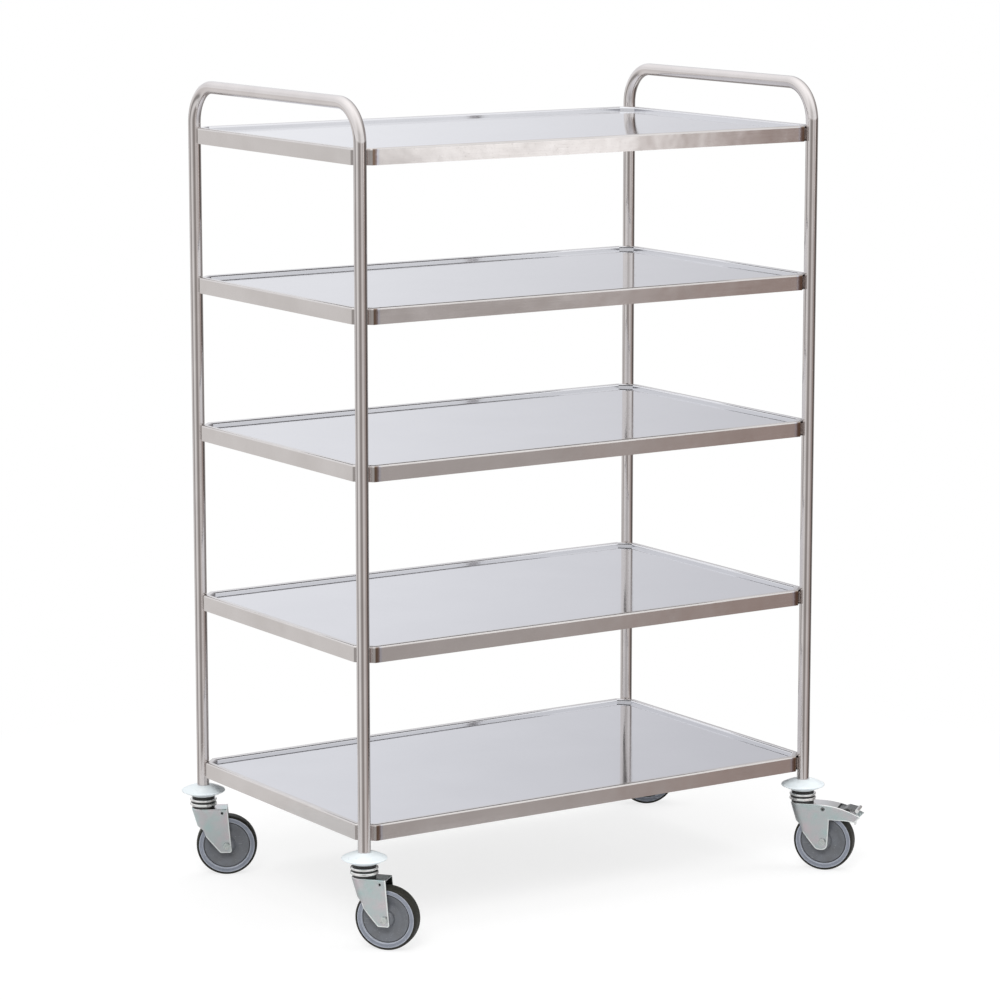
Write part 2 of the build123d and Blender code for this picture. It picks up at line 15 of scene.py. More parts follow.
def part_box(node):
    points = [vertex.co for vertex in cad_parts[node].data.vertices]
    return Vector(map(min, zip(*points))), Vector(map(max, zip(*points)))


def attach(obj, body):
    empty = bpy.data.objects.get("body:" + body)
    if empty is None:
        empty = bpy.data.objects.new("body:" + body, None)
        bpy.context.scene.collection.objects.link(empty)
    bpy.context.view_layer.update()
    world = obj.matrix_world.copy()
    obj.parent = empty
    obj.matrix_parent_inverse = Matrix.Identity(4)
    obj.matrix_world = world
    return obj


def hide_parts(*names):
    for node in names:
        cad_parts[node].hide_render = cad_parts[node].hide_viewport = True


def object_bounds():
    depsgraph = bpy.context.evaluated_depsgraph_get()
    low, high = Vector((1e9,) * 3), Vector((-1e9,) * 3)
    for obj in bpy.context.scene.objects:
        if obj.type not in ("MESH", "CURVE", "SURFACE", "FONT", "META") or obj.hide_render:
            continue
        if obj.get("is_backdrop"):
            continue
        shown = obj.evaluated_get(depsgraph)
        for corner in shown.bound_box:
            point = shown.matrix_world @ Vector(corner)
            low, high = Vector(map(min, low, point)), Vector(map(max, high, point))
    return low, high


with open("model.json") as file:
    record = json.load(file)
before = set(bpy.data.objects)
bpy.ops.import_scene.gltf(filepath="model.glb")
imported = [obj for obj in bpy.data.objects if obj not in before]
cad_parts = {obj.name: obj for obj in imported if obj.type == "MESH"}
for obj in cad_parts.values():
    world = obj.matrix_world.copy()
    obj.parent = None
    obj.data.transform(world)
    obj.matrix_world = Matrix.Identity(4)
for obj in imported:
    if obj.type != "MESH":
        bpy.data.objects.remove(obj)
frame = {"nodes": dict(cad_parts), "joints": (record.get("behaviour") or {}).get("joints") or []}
CAD_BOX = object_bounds()
MM = 0.001
ROOT_BODY = "frame"
TUBE_MAP = "tube_run"
SHARP_ANGLE = math.radians(32)
FULL_TURN = 2 * math.pi
WHITE = (1.0, 1.0, 1.0, 1.0)
# Longest share of a profile's side that a rounding takes up
ROUNDING_SHARE = 0.49
# Half the width of a fork and the radius of the bores, in millimetres as in the profiles
FORK_OUTER = 22.5
BORE = 6.1
log = logging.getLogger("serving_trolley")

Triple = tuple[float, float, float]
Colour = tuple[float, float, float]
Span = tuple[float, float]
Ramp = Sequence[tuple[float, Colour]]
Profile = Sequence[tuple[float, float]]
Stop = tuple[Vector, Vector, float]
Shape = bmesh.types.BMesh
Vert = bmesh.types.BMVert
Face = bmesh.types.BMFace
Socket = bpy.types.NodeSocket
Zone = Callable[[Vector, Vector], int]
UNIT: Span = (0.0, 1.0)


class Corner(Enum):
    """The four posts and their castors."""

    FRONT_LEFT = "front_left"
    BACK_LEFT = "back_left"
    FRONT_RIGHT = "front_right"
    BACK_RIGHT = "back_right"

    @property
    def braked(self) -> bool:
        """Whether this castor has the foot brake."""
        return self in (Corner.FRONT_RIGHT, Corner.BACK_RIGHT)

    def named(self, stem: str) -> str:
        """Name of a node, piece, body or joint at this corner."""
        return f"{stem}_{self.value}"


class Level(Enum):
    """The five tray shelves, from the floor up."""

    BOTTOM = "bottom"
    LOWER = "lower"
    MIDDLE = "middle"
    UPPER = "upper"
    TOP = "top"


class Side(Enum):
    """The two end frames."""

    LEFT = "left"
    RIGHT = "right"


class Slot(Enum):
    """Material slots of the record, passed along with new pieces but not given to them."""

    TUBE = "tube_steel"
    WELD = "weld_steel"
    ZINC = "zinc_steel"
    FASTENER = "fastener_steel"
    BUMPER = "bumper_plastic"
    WHEEL = "wheel_plastic"
    TYRE = "tyre_rubber"


class GrainWay(Enum):
    """What the grain of a metal follows."""

    TUBE = "the run of a tube"
    RAIL = "the length of each rail"
    OBJECT = "the piece's own axes"


class ShelfFace(IntEnum):
    """Kinds of face on a shelf, numbered as its finishes are."""

    RAIL = 0
    DECK = 1
    UNDERSIDE = 2


class HeadFace(IntEnum):
    """Kinds of face on a castor's fixed head."""

    RING = 0
    # The neck takes a black finish: painted shade in the gap under the bumper disc.
    NECK = 1


class ForkFace(IntEnum):
    """Kinds of face on a fork."""

    PLATE = 0
    # Lighter ring round the cup, also used on a brake hood's top: painted highlight.
    RING = 1
    # Black waist below the ring: painted shade.
    WAIST = 2
    # Pale edge: painted highlight.
    EDGE = 3


class WheelFace(IntEnum):
    """Kinds of face on a wheel."""

    # The step in tone from web to ring is painted light and shade: the recessed web darker, the ring
    # lighter.
    WEB = 0
    RING = 1
    # Lighter bands at the ring's edges: painted highlight.
    EDGE = 2
    # Near-black band inside the ring: painted shade.
    GROOVE = 3


class PedalFace(IntEnum):
    """Kinds of face on a brake pedal."""

    # Dark tread: painted shade.
    TREAD = 0
    # Light tip and tail: painted highlight.
    BRIGHT = 1


class Bench:
    """Lays out the nodes of one shader tree.

    A Mix node has its own pair of inputs and its own result for vectors and for colours.
    """

    MIX_VECTORS = (4, 5)
    MIXED_VECTOR = 1
    MIX_COLOURS = (6, 7)
    MIXED_COLOUR = 2

    def __init__(self, tree: bpy.types.NodeTree) -> None:
        """Keep the tree that the nodes go into."""
        self.tree = tree

    def add(self, kind: str, **settings: object) -> bpy.types.Node:
        """Add a shader node.

        Args:
            kind: the node's type, without its ShaderNode prefix.
            settings: properties to set on it.

        Returns:
            The new node.
        """
        node = self.tree.nodes.new("ShaderNode" + kind)
        for name, value in settings.items():
            setattr(node, name, value)
        return node

    def feed(self, socket: Socket, value: object) -> None:
        """Link an input to another socket, or set its own value."""
        if isinstance(value, bpy.types.NodeSocket):
            self.tree.links.new(value, socket)
        else:
            socket.default_value = value

    def math(self, operation: str, first: object, second: object = 0.0) -> Socket:
        """Work out one number from two."""
        node = self.add("Math", operation=operation)
        self.feed(node.inputs[0], first)
        self.feed(node.inputs[1], second)
        return node.outputs[0]

    def weighted(self, first: Socket, first_weight: float, second: Socket, second_weight: float) -> Socket:
        """Add two values, each times its weight."""
        products = (
            self.math("MULTIPLY", first, first_weight),
            self.math("MULTIPLY", second, second_weight),
        )
        return self.math("ADD", *products)

    def vector(self, operation: str, *vectors: object) -> Socket:
        """Work out one vector from one or two."""
        node = self.add("VectorMath", operation=operation)
        for socket, vector in zip(node.inputs, vectors):
            self.feed(socket, vector)
        return node.outputs[0]

    def length(self, vector: Socket) -> Socket:
        """Length of a vector."""
        node = self.add("VectorMath", operation="LENGTH")
        self.feed(node.inputs[0], vector)
        return node.outputs["Value"]

    def parts(self, vector: Socket) -> Sequence[Socket]:
        """The three parts of a vector."""
        node = self.add("SeparateXYZ")
        self.feed(node.inputs[0], vector)
        return node.outputs

    def span(self, value: Socket, source: Span, target: Span = UNIT) -> Socket:
        """Map a value from one range to another, held at both ends.

        Args:
            value: the value to map.
            source: its low and high ends.
            target: what those ends become.

        Returns:
            The mapped value.
        """
        node = self.add("MapRange", clamp=True)
        self.feed(node.inputs["Value"], value)
        node.inputs["From Min"].default_value, node.inputs["From Max"].default_value = source
        node.inputs["To Min"].default_value, node.inputs["To Max"].default_value = target
        return node.outputs["Result"]

    def blend(self, factor: object, first: object, second: object, way: str = "MIX") -> Socket:
        """Mix two colours by a factor, in one of the ways that colours mix."""
        node = self.add("Mix", data_type="RGBA", blend_type=way)
        self.feed(node.inputs[0], factor)
        for place, colour in zip(self.MIX_COLOURS, (first, second)):
            is_socket = isinstance(colour, bpy.types.NodeSocket)
            self.feed(node.inputs[place], colour if is_socket else (*colour, 1.0))
        return node.outputs[self.MIXED_COLOUR]

    def tinted(self, colour: Socket, tint: Socket) -> Socket:
        """Multiply one colour by another."""
        return self.blend(1.0, colour, tint, "MULTIPLY")

    def either(self, factor: Socket, first: Socket, second: Socket) -> Socket:
        """Mix two vectors by a factor."""
        node = self.add("Mix", data_type="VECTOR")
        self.feed(node.inputs[0], factor)
        for place, vector in zip(self.MIX_VECTORS, (first, second)):
            self.feed(node.inputs[place], vector)
        return node.outputs[self.MIXED_VECTOR]

    def noise(self, coordinates: Socket, scale: object, detail: float) -> Socket:
        """Noise over some coordinates."""
        node = self.add("TexNoise")
        self.feed(node.inputs["Vector"], coordinates)
        self.feed(node.inputs["Scale"], scale)
        node.inputs["Detail"].default_value = detail
        return node.outputs[0]

    def stretched(self, coordinates: Socket, stretch: object) -> Socket:
        """Coordinates multiplied by a vector."""
        return self.vector("MULTIPLY", coordinates, stretch)

    def ramp(self, value: Socket, stops: Ramp, ease: bool = False) -> Socket:
        """Colour ramp over a value.

        Args:
            value: place along the ramp, from 0 to 1.
            stops: places and their colours, in order.
            ease: whether the colours ease into each other.

        Returns:
            The colour.
        """
        node = self.add("ValToRGB")
        node.color_ramp.interpolation = "EASE" if ease else "LINEAR"
        elements = node.color_ramp.elements
        while len(elements) < len(stops):
            elements.new(1.0)
        for element, (place, colour) in zip(elements, stops):
            element.position = place
            element.color = (*colour, 1.0)
        self.feed(node.inputs[0], value)
        return node.outputs[0]

    def group(self, tree: bpy.types.NodeTree, **inputs: object) -> Socket:
        """Triple a node group, feed its inputs by name and give its output."""
        node = self.add("Group", node_tree=tree)
        for name, value in inputs.items():
            self.feed(node.inputs[name], value)
        return node.outputs[0]

    def choose(self, factor: Socket, first: bpy.types.Node, second: bpy.types.Node) -> bpy.types.Node:
        """Mix two shaders by a factor.

        Args:
            factor: share of the second one.
            first: the shader at 0.
            second: the shader at 1.

        Returns:
            The mixed shader.
        """
        node = self.add("MixShader")
        for socket, value in zip(node.inputs, (factor, first.outputs[0], second.outputs[0])):
            self.feed(socket, value)
        return node


class Effects:
    """Shader node groups that several finishes share, each built once."""

    FLOAT = "NodeSocketFloat"
    VECTOR = "NodeSocketVector"
    COLOUR = "NodeSocketColor"
    GRAIN_DETAIL = 2.0
    FINE_GRAIN = 3.7
    FINE_SHARE = 0.45
    GRAIN_RANGE: Span = (0.32, 0.68)
    CLOUD_DETAIL = 3.0
    CLOUD_RANGE: Span = (0.3, 0.7)
    SCRATCH_DETAIL = 1.0
    SCRATCH_TURNS = (0.5, 2.3)
    SCRATCH_STRETCH = (0.03, 1.0, 0.5)
    SCRATCH_RANGE: Span = (0.69, 0.74)
    IN_PLAN = (1.0, 1.0, 0.0)
    RAGGED_DETAIL = 2.0
    RAGGED_SCALE = 160.0
    RAGGED_REACH = 3 * MM
    HEAT_STOPS: Ramp = (
        (0.62, (0.30, 0.22, 0.17)),
        (0.74, (0.42, 0.36, 0.36)),
        (0.82, (0.86, 0.90, 1.0)),
        (1.0, (1.0, 1.0, 1.0)),
    )

    def __init__(self) -> None:
        """Build every group."""
        self.grain = self._grain()
        self.cloud = self._cloud()
        self.scratches = self._scratches()
        self.heat_tint = self._heat_tint()

    @staticmethod
    def _start(
        name: str, inputs: dict[str, str], output: str, kind: str
    ) -> tuple[bpy.types.NodeTree, Bench, dict[str, Socket], Socket]:
        """Open a group.

        Args:
            name: its name.
            inputs: input names and socket types.
            output: the output's name.
            kind: the output's socket type.

        Returns:
            The tree, its bench, its inputs by name and its output.
        """
        tree = bpy.data.node_groups.new(name, "ShaderNodeTree")
        for title, socket_type in inputs.items():
            tree.interface.new_socket(title, in_out="INPUT", socket_type=socket_type)
        tree.interface.new_socket(output, in_out="OUTPUT", socket_type=kind)
        entry = tree.nodes.new("NodeGroupInput")
        leave = tree.nodes.new("NodeGroupOutput")
        return tree, Bench(tree), {title: entry.outputs[title] for title in inputs}, leave.inputs[output]

    def _grain(self) -> bpy.types.NodeTree:
        """Fine lines drawn out along one direction."""
        inputs = {"Coordinates": self.VECTOR, "Stretch": self.VECTOR}
        tree, bench, entry, leave = self._start("drawn_grain", inputs, "Grain", self.FLOAT)
        drawn = bench.stretched(entry["Coordinates"], entry["Stretch"])
        broad = bench.noise(drawn, 1.0, self.GRAIN_DETAIL)
        fine = bench.noise(drawn, self.FINE_GRAIN, self.GRAIN_DETAIL)
        both = bench.weighted(broad, 1 - self.FINE_SHARE, fine, self.FINE_SHARE)
        bench.feed(leave, bench.span(both, self.GRAIN_RANGE))
        return tree

    def _cloud(self) -> bpy.types.NodeTree:
        """Soft patches of one size."""
        inputs = {"Coordinates": self.VECTOR, "Size": self.FLOAT}
        tree, bench, entry, leave = self._start("soft_patches", inputs, "Cloud", self.FLOAT)
        scale = bench.math("DIVIDE", 1.0, entry["Size"])
        patches = bench.noise(entry["Coordinates"], scale, self.CLOUD_DETAIL)
        bench.feed(leave, bench.span(patches, self.CLOUD_RANGE))
        return tree

    def _scratches(self) -> bpy.types.NodeTree:
        """Sparse hairline scratches in two directions."""
        inputs = {"Coordinates": self.VECTOR, "Spacing": self.FLOAT}
        tree, bench, entry, leave = self._start("hairline_scratches", inputs, "Scratch", self.FLOAT)
        scale = bench.math("DIVIDE", 1.0, entry["Spacing"])
        masks = []
        for turn in self.SCRATCH_TURNS:
            node = bench.add("VectorRotate", rotation_type="Z_AXIS")
            bench.feed(node.inputs["Vector"], entry["Coordinates"])
            node.inputs["Angle"].default_value = turn
            drawn = bench.stretched(node.outputs[0], self.SCRATCH_STRETCH)
            lines = bench.noise(drawn, scale, self.SCRATCH_DETAIL)
            masks.append(bench.span(lines, self.SCRATCH_RANGE))
        bench.feed(leave, bench.math("MAXIMUM", *masks))
        return tree

    def _heat_tint(self) -> bpy.types.NodeTree:
        """Straw, violet and brown tints that fade out around each welded post."""
        inputs = {"Coordinates": self.VECTOR, "Post": self.VECTOR, "Reach": self.FLOAT}
        tree, bench, entry, leave = self._start("weld_heat_tint", inputs, "Tint", self.COLOUR)
        folded = bench.vector("ABSOLUTE", entry["Coordinates"])
        apart = bench.vector("SUBTRACT", folded, entry["Post"])
        away = bench.length(bench.stretched(apart, self.IN_PLAN))
        noise = bench.noise(entry["Coordinates"], self.RAGGED_SCALE, self.RAGGED_DETAIL)
        ragged = bench.weighted(away, 1.0, noise, self.RAGGED_REACH)
        reach = bench.math("DIVIDE", ragged, entry["Reach"])
        bench.feed(leave, bench.ramp(reach, self.HEAT_STOPS, ease=True))
        return tree


class Finish:
    """Base of the finishes: each makes its material once."""

    name: str

    def material(self) -> bpy.types.Material:
        """The finish's material, made when it is first asked for."""
        found = bpy.data.materials.get(self.name)
        if found is not None:
            return found
        made = bpy.data.materials.new(self.name)
        made.use_nodes = True
        self.lay_out(Bench(made.node_tree), made.node_tree.nodes["Principled BSDF"])
        return made

    def lay_out(self, bench: Bench, shader: bpy.types.Node) -> None:
        """Lay out the nodes that feed the shader."""
        raise NotImplementedError

    @staticmethod
    def bumped(bench: Bench, shader: bpy.types.Node, height: Socket) -> None:
        """Tilt the shader's normal by a height in metres."""
        bump = bench.add("Bump")
        bump.inputs["Distance"].default_value = 1.0
        bench.feed(bump.inputs["Height"], height)
        bench.feed(shader.inputs["Normal"], bump.outputs[0])


@dataclass(frozen=True)
class Steel(Finish):
    """Stainless steel with drawn grain, soft patches, slight waves and hairline scratches.

    The stretch gives grain lines per metre along the grain's own three directions.
    """

    name: str
    pale: Colour
    deep: Colour
    roughness: Span
    way: GrainWay
    stretch: Triple
    grain_height: float
    patch_size: float
    wave_size: float
    wave_height: float
    scratch_spacing: float
    scratch_dulling: float
    tinted_by_welds: bool = False

    PATCH_SHARE: ClassVar[float] = 0.6
    END_RAIL_DEPTH: ClassVar[float] = 45 * MM
    TINT_REACH: ClassVar[float] = 33 * MM
    TINT_INSET: ClassVar[float] = 10 * MM
    TINT_FACING: ClassVar[Span] = (0.75, 0.9)

    def lay_out(self, bench: Bench, shader: bpy.types.Node) -> None:
        """Lay out the steel's colour, roughness and bump."""
        place = bench.add("TexCoord").outputs["Object"]
        along = self._grain_coordinates(bench, place)
        grain = bench.group(EFFECTS.grain, Coordinates=along, Stretch=self.stretch)
        patches = bench.group(EFFECTS.cloud, Coordinates=place, Size=self.patch_size)
        waves = bench.group(EFFECTS.cloud, Coordinates=place, Size=self.wave_size)
        scratch = bench.group(EFFECTS.scratches, Coordinates=place, Spacing=self.scratch_spacing)
        mix = bench.weighted(patches, self.PATCH_SHARE, grain, 1 - self.PATCH_SHARE)
        colour = bench.blend(mix, self.deep, self.pale)
        if self.tinted_by_welds:
            colour = self._heat_tinted(bench, place, colour)
        bench.feed(shader.inputs["Base Color"], colour)
        dull = bench.math("MULTIPLY", scratch, self.scratch_dulling)
        rough = bench.math("ADD", bench.span(grain, UNIT, self.roughness), dull)
        bench.feed(shader.inputs["Roughness"], rough)
        self.bumped(bench, shader, bench.weighted(grain, self.grain_height, waves, self.wave_height))
        shader.inputs["Metallic"].default_value = 1.0

    def _heat_tinted(self, bench: Bench, place: Socket, colour: Socket) -> Socket:
        """Tint the long rails near the welds.

        Args:
            bench: the material's bench.
            place: coordinates of the piece.
            colour: the steel's own colour.

        Returns:
            The tinted colour.
        """
        post, _ = joint_line(Corner.BACK_RIGHT.named("swivel"))
        welded = (post.x - self.TINT_INSET, post.y, 0.0)
        tint = bench.group(EFFECTS.heat_tint, Coordinates=place, Post=welded, Reach=self.TINT_REACH)
        facing = bench.parts(bench.add("TexCoord").outputs["Normal"])[1]
        long_rail = bench.span(bench.math("ABSOLUTE", facing), self.TINT_FACING)
        return bench.blend(long_rail, colour, bench.tinted(colour, tint))

    def _grain_coordinates(self, bench: Bench, place: Socket) -> Socket:
        """Coordinates whose first one runs along the grain."""
        if self.way is GrainWay.TUBE:
            return bench.add("UVMap", uv_map=TUBE_MAP).outputs[0]
        if self.way is GrainWay.OBJECT:
            return place
        x, y, z = bench.parts(place)
        end_start = CAD_BOX[1].x - self.END_RAIL_DEPTH
        on_end = bench.math("GREATER_THAN", bench.math("ABSOLUTE", x), end_start)
        turned = bench.add("CombineXYZ")
        for socket, part in zip(turned.inputs, (y, x, z)):
            bench.feed(socket, part)
        return bench.either(on_end, place, turned.outputs[0])


@dataclass(frozen=True)
class Plating(Finish):
    """Bright zinc plating whose passivation drifts between a green and a pink tint."""

    name: str
    green: Colour
    pink: Colour
    roughness: Span
    drift_size: float
    spangle_size: float
    spangle_height: float
    scratch_spacing: float
    scratch_dulling: float
    metal: float = 1.0

    def lay_out(self, bench: Bench, shader: bpy.types.Node) -> None:
        """Lay out the plating's drift of tint, spangle and scratches."""
        place = bench.add("TexCoord").outputs["Object"]
        drift = bench.group(EFFECTS.cloud, Coordinates=place, Size=self.drift_size)
        spangle = bench.group(EFFECTS.cloud, Coordinates=place, Size=self.spangle_size)
        scratch = bench.group(EFFECTS.scratches, Coordinates=place, Spacing=self.scratch_spacing)
        bench.feed(shader.inputs["Base Color"], bench.blend(drift, self.green, self.pink))
        dull = bench.math("MULTIPLY", scratch, self.scratch_dulling)
        rough = bench.math("ADD", bench.span(spangle, UNIT, self.roughness), dull)
        bench.feed(shader.inputs["Roughness"], rough)
        self.bumped(bench, shader, bench.math("MULTIPLY", spangle, self.spangle_height))
        shader.inputs["Metallic"].default_value = self.metal


@dataclass(frozen=True)
class Moulding(Finish):
    """Moulded plastic or rubber: fine skin texture, soft patches and rubbed scuffs."""

    name: str
    colour: Colour
    patch_colour: Colour
    scuff_colour: Colour
    roughness: Span
    patch_size: float
    skin_size: float
    skin_height: float
    scuff_spacing: float
    gloss: float = 0.5

    def lay_out(self, bench: Bench, shader: bpy.types.Node) -> None:
        """Lay out the moulding's patches, skin and scuffs."""
        place = bench.add("TexCoord").outputs["Object"]
        patches = bench.group(EFFECTS.cloud, Coordinates=place, Size=self.patch_size)
        skin = bench.group(EFFECTS.cloud, Coordinates=place, Size=self.skin_size)
        scuff = bench.group(EFFECTS.scratches, Coordinates=place, Spacing=self.scuff_spacing)
        body = bench.blend(patches, self.colour, self.patch_colour)
        bench.feed(shader.inputs["Base Color"], bench.blend(scuff, body, self.scuff_colour))
        bench.feed(shader.inputs["Roughness"], bench.span(patches, UNIT, self.roughness))
        self.bumped(bench, shader, bench.math("MULTIPLY", skin, self.skin_height))
        shader.inputs["Specular IOR Level"].default_value = self.gloss


EFFECTS = Effects()

SATIN_TUBE = Steel(
    name="satin_tube", pale=(0.67, 0.64, 0.635), deep=(0.58, 0.55, 0.545), roughness=(0.05, 0.09),
    way=GrainWay.TUBE, stretch=(24.0, 900.0, 1.0), grain_height=0.3e-6, patch_size=70 * MM,
    wave_size=160 * MM, wave_height=20e-6, scratch_spacing=1.6 * MM, scratch_dulling=0.10,
)
BRUSHED_RAIL = Steel(
    name="brushed_rail", pale=(0.655, 0.635, 0.63), deep=(0.565, 0.54, 0.53), roughness=(0.08, 0.13),
    way=GrainWay.RAIL, stretch=(9.0, 1500.0, 1500.0), grain_height=0.3e-6, patch_size=90 * MM,
    wave_size=150 * MM, wave_height=280e-6, scratch_spacing=1.4 * MM, scratch_dulling=0.08,
    tinted_by_welds=True,
)
MIRROR_DECK = Steel(
    name="mirror_deck", pale=(0.685, 0.69, 0.72), deep=(0.64, 0.645, 0.675), roughness=(0.055, 0.085),
    way=GrainWay.RAIL, stretch=(14.0, 1100.0, 1100.0), grain_height=0.12e-6, patch_size=180 * MM,
    wave_size=320 * MM, wave_height=60e-6, scratch_spacing=2.2 * MM, scratch_dulling=0.05,
)
MILL_UNDERSIDE = Steel(
    name="mill_underside", pale=(0.56, 0.56, 0.56), deep=(0.46, 0.455, 0.45), roughness=(0.32, 0.44),
    way=GrainWay.RAIL, stretch=(12.0, 700.0, 700.0), grain_height=1.5e-6, patch_size=60 * MM,
    wave_size=200 * MM, wave_height=120e-6, scratch_spacing=1.6 * MM, scratch_dulling=0.12,
)
WELD_METAL = Steel(
    name="weld_metal", pale=(0.34, 0.285, 0.255), deep=(0.15, 0.12, 0.12), roughness=(0.22, 0.42),
    way=GrainWay.OBJECT, stretch=(500.0, 500.0, 900.0), grain_height=6e-6, patch_size=5 * MM,
    wave_size=3 * MM, wave_height=60e-6, scratch_spacing=0.9 * MM, scratch_dulling=0.1,
)
BRIGHT_ZINC = Plating(
    name="bright_zinc", green=(0.455, 0.565, 0.56), pink=(0.59, 0.53, 0.555), roughness=(0.14, 0.22),
    drift_size=26 * MM, spangle_size=4.0 * MM, spangle_height=4e-6,
    scratch_spacing=0.9 * MM, scratch_dulling=0.05,
)
# Polished ring: the turned heads' own finish; on the forks' cup rings, the brake hoods' tops and the
# pedals' tips its lighter colour is painted highlight.
POLISHED_RING_AND_PAINTED_HIGHLIGHT = Plating(
    name="polished_ring_and_painted_highlight", green=(0.74, 0.77, 0.76), pink=(0.79, 0.77, 0.77), roughness=(0.05, 0.09),
    drift_size=12 * MM, spangle_size=3.0 * MM, spangle_height=1e-6,
    scratch_spacing=0.7 * MM, scratch_dulling=0.06,
)
# Pale finish on the forks' edge faces and rolled edges: painted highlight.
PAINTED_EDGE_HIGHLIGHT = Plating(
    name="painted_edge_highlight", green=(0.72, 0.78, 0.76), pink=(0.78, 0.77, 0.77), roughness=(0.36, 0.5),
    drift_size=8 * MM, spangle_size=0.8 * MM, spangle_height=20e-6,
    scratch_spacing=0.5 * MM, scratch_dulling=0.1, metal=0.25,
)
# Dark finish: the riveted pins' own colour; on the pedals' treads it is painted shade.
DARK_RIVET_AND_PAINTED_SHADE = Plating(
    name="dark_rivet_and_painted_shade", green=(0.14, 0.16, 0.16), pink=(0.19, 0.19, 0.19), roughness=(0.24, 0.36),
    drift_size=4 * MM, spangle_size=1.2 * MM, spangle_height=2e-6,
    scratch_spacing=0.6 * MM, scratch_dulling=0.1,
)
PLATED_FASTENER = Plating(
    name="plated_fastener", green=(0.50, 0.57, 0.55), pink=(0.58, 0.58, 0.57), roughness=(0.20, 0.32),
    drift_size=7 * MM, spangle_size=1.6 * MM, spangle_height=2e-6,
    scratch_spacing=0.6 * MM, scratch_dulling=0.14,
)
ICE_PLASTIC = Moulding(
    name="ice_plastic", colour=(0.90, 0.965, 0.99), patch_colour=(0.86, 0.935, 0.975),
    scuff_colour=(0.72, 0.79, 0.84), roughness=(0.30, 0.42), patch_size=22 * MM,
    skin_size=0.9 * MM, skin_height=9e-6, scuff_spacing=1.5 * MM,
)
# Web and ring take two greys; the web's darker tone is painted shade of its recess, the ring's lighter
# tone painted light.
WHEEL_WEB = Moulding(
    name="wheel_web", colour=(0.145, 0.155, 0.175), patch_colour=(0.125, 0.13, 0.14),
    scuff_colour=(0.24, 0.25, 0.26), roughness=(0.30, 0.42), patch_size=18 * MM,
    skin_size=0.7 * MM, skin_height=12e-6, scuff_spacing=1.1 * MM,
)
WHEEL_RING = Moulding(
    name="wheel_ring", colour=(0.245, 0.265, 0.32), patch_colour=(0.215, 0.235, 0.28),
    scuff_colour=(0.36, 0.38, 0.42), roughness=(0.28, 0.4), patch_size=14 * MM,
    skin_size=0.7 * MM, skin_height=9e-6, scuff_spacing=1.1 * MM,
)
# Lighter bands along the ring's two edges: painted highlight.
WHEEL_EDGE_PAINTED_HIGHLIGHT = Moulding(
    name="wheel_edge_painted_highlight", colour=(0.50, 0.53, 0.60), patch_colour=(0.42, 0.45, 0.52),
    scuff_colour=(0.60, 0.62, 0.66), roughness=(0.22, 0.34), patch_size=14 * MM,
    skin_size=0.7 * MM, skin_height=6e-6, scuff_spacing=1.1 * MM,
)
# Near-black band between web and ring: painted shade.
WHEEL_GROOVE_PAINTED_SHADE = Moulding(
    name="wheel_groove_painted_shade", colour=(0.06, 0.065, 0.07), patch_colour=(0.05, 0.05, 0.05),
    scuff_colour=(0.12, 0.12, 0.12), roughness=(0.4, 0.55), patch_size=10 * MM,
    skin_size=0.7 * MM, skin_height=9e-6, scuff_spacing=1.1 * MM,
)
TYRE_RUBBER = Moulding(
    name="tyre_rubber_matt", colour=(0.015, 0.015, 0.012), patch_colour=(0.023, 0.022, 0.017),
    scuff_colour=(0.06, 0.058, 0.05), roughness=(0.5, 0.68), patch_size=12 * MM,
    skin_size=0.8 * MM, skin_height=30e-6, scuff_spacing=1.0 * MM, gloss=0.3,
)
# Black rubber for the real seals and brake pads; on the heads' necks and the forks' waists the same black
# is painted shade.
BLACK_RUBBER_AND_PAINTED_SHADE = Moulding(
    name="black_rubber_and_painted_shade", colour=(0.012, 0.012, 0.012), patch_colour=(0.02, 0.02, 0.02),
    scuff_colour=(0.04, 0.04, 0.04), roughness=(0.42, 0.6), patch_size=6 * MM,
    skin_size=0.6 * MM, skin_height=14e-6, scuff_spacing=0.8 * MM,
)


def joint_line(name: str) -> tuple[Vector, Vector]:
    """Triple and direction of a joint's axis, in metres.

    Args:
        name: the joint's name.

    Returns:
        A point on the axis and the axis itself.
    """
    joint = next(joint for joint in frame["joints"] if joint["name"] == name)
    return Vector(joint["pos_m"]), Vector(joint["axis"]).normalized()


def axis_place(origin: Vector, axis: Vector) -> Matrix:
    """Matrix that carries local Z onto an axis through a point."""
    return Matrix.Translation(origin) @ axis.to_track_quat("Z", "X").to_matrix().to_4x4()


def linked(name: str, data: bpy.types.ID) -> bpy.types.Object:
    """New object in the scene that holds some data."""
    made = bpy.data.objects.new(name, data)
    bpy.context.scene.collection.objects.link(made)
    return made


def aim(thing: bpy.types.Object, way: Vector) -> None:
    """Turn a lamp or camera so that it looks one way."""
    thing.rotation_mode = "QUATERNION"
    thing.rotation_quaternion = way.to_track_quat("-Z", "Y")


def dress_node(node: str, finishes: Sequence[Finish], zone: Zone | None = None) -> None:
    """Give a carried-over CAD node its finishes.

    Args:
        node: the node's name.
        finishes: the finishes that its faces take.
        zone: picks a finish's number for a face from its centre and normal.
    """
    mesh = frame["nodes"][node].data
    mesh.materials.clear()
    for finish in finishes:
        mesh.materials.append(finish.material())
    for face in mesh.polygons:
        face.material_index = zone(face.center, face.normal) if zone else 0
    log.info("dressed %s in %s", node, ", ".join(finish.name for finish in finishes))


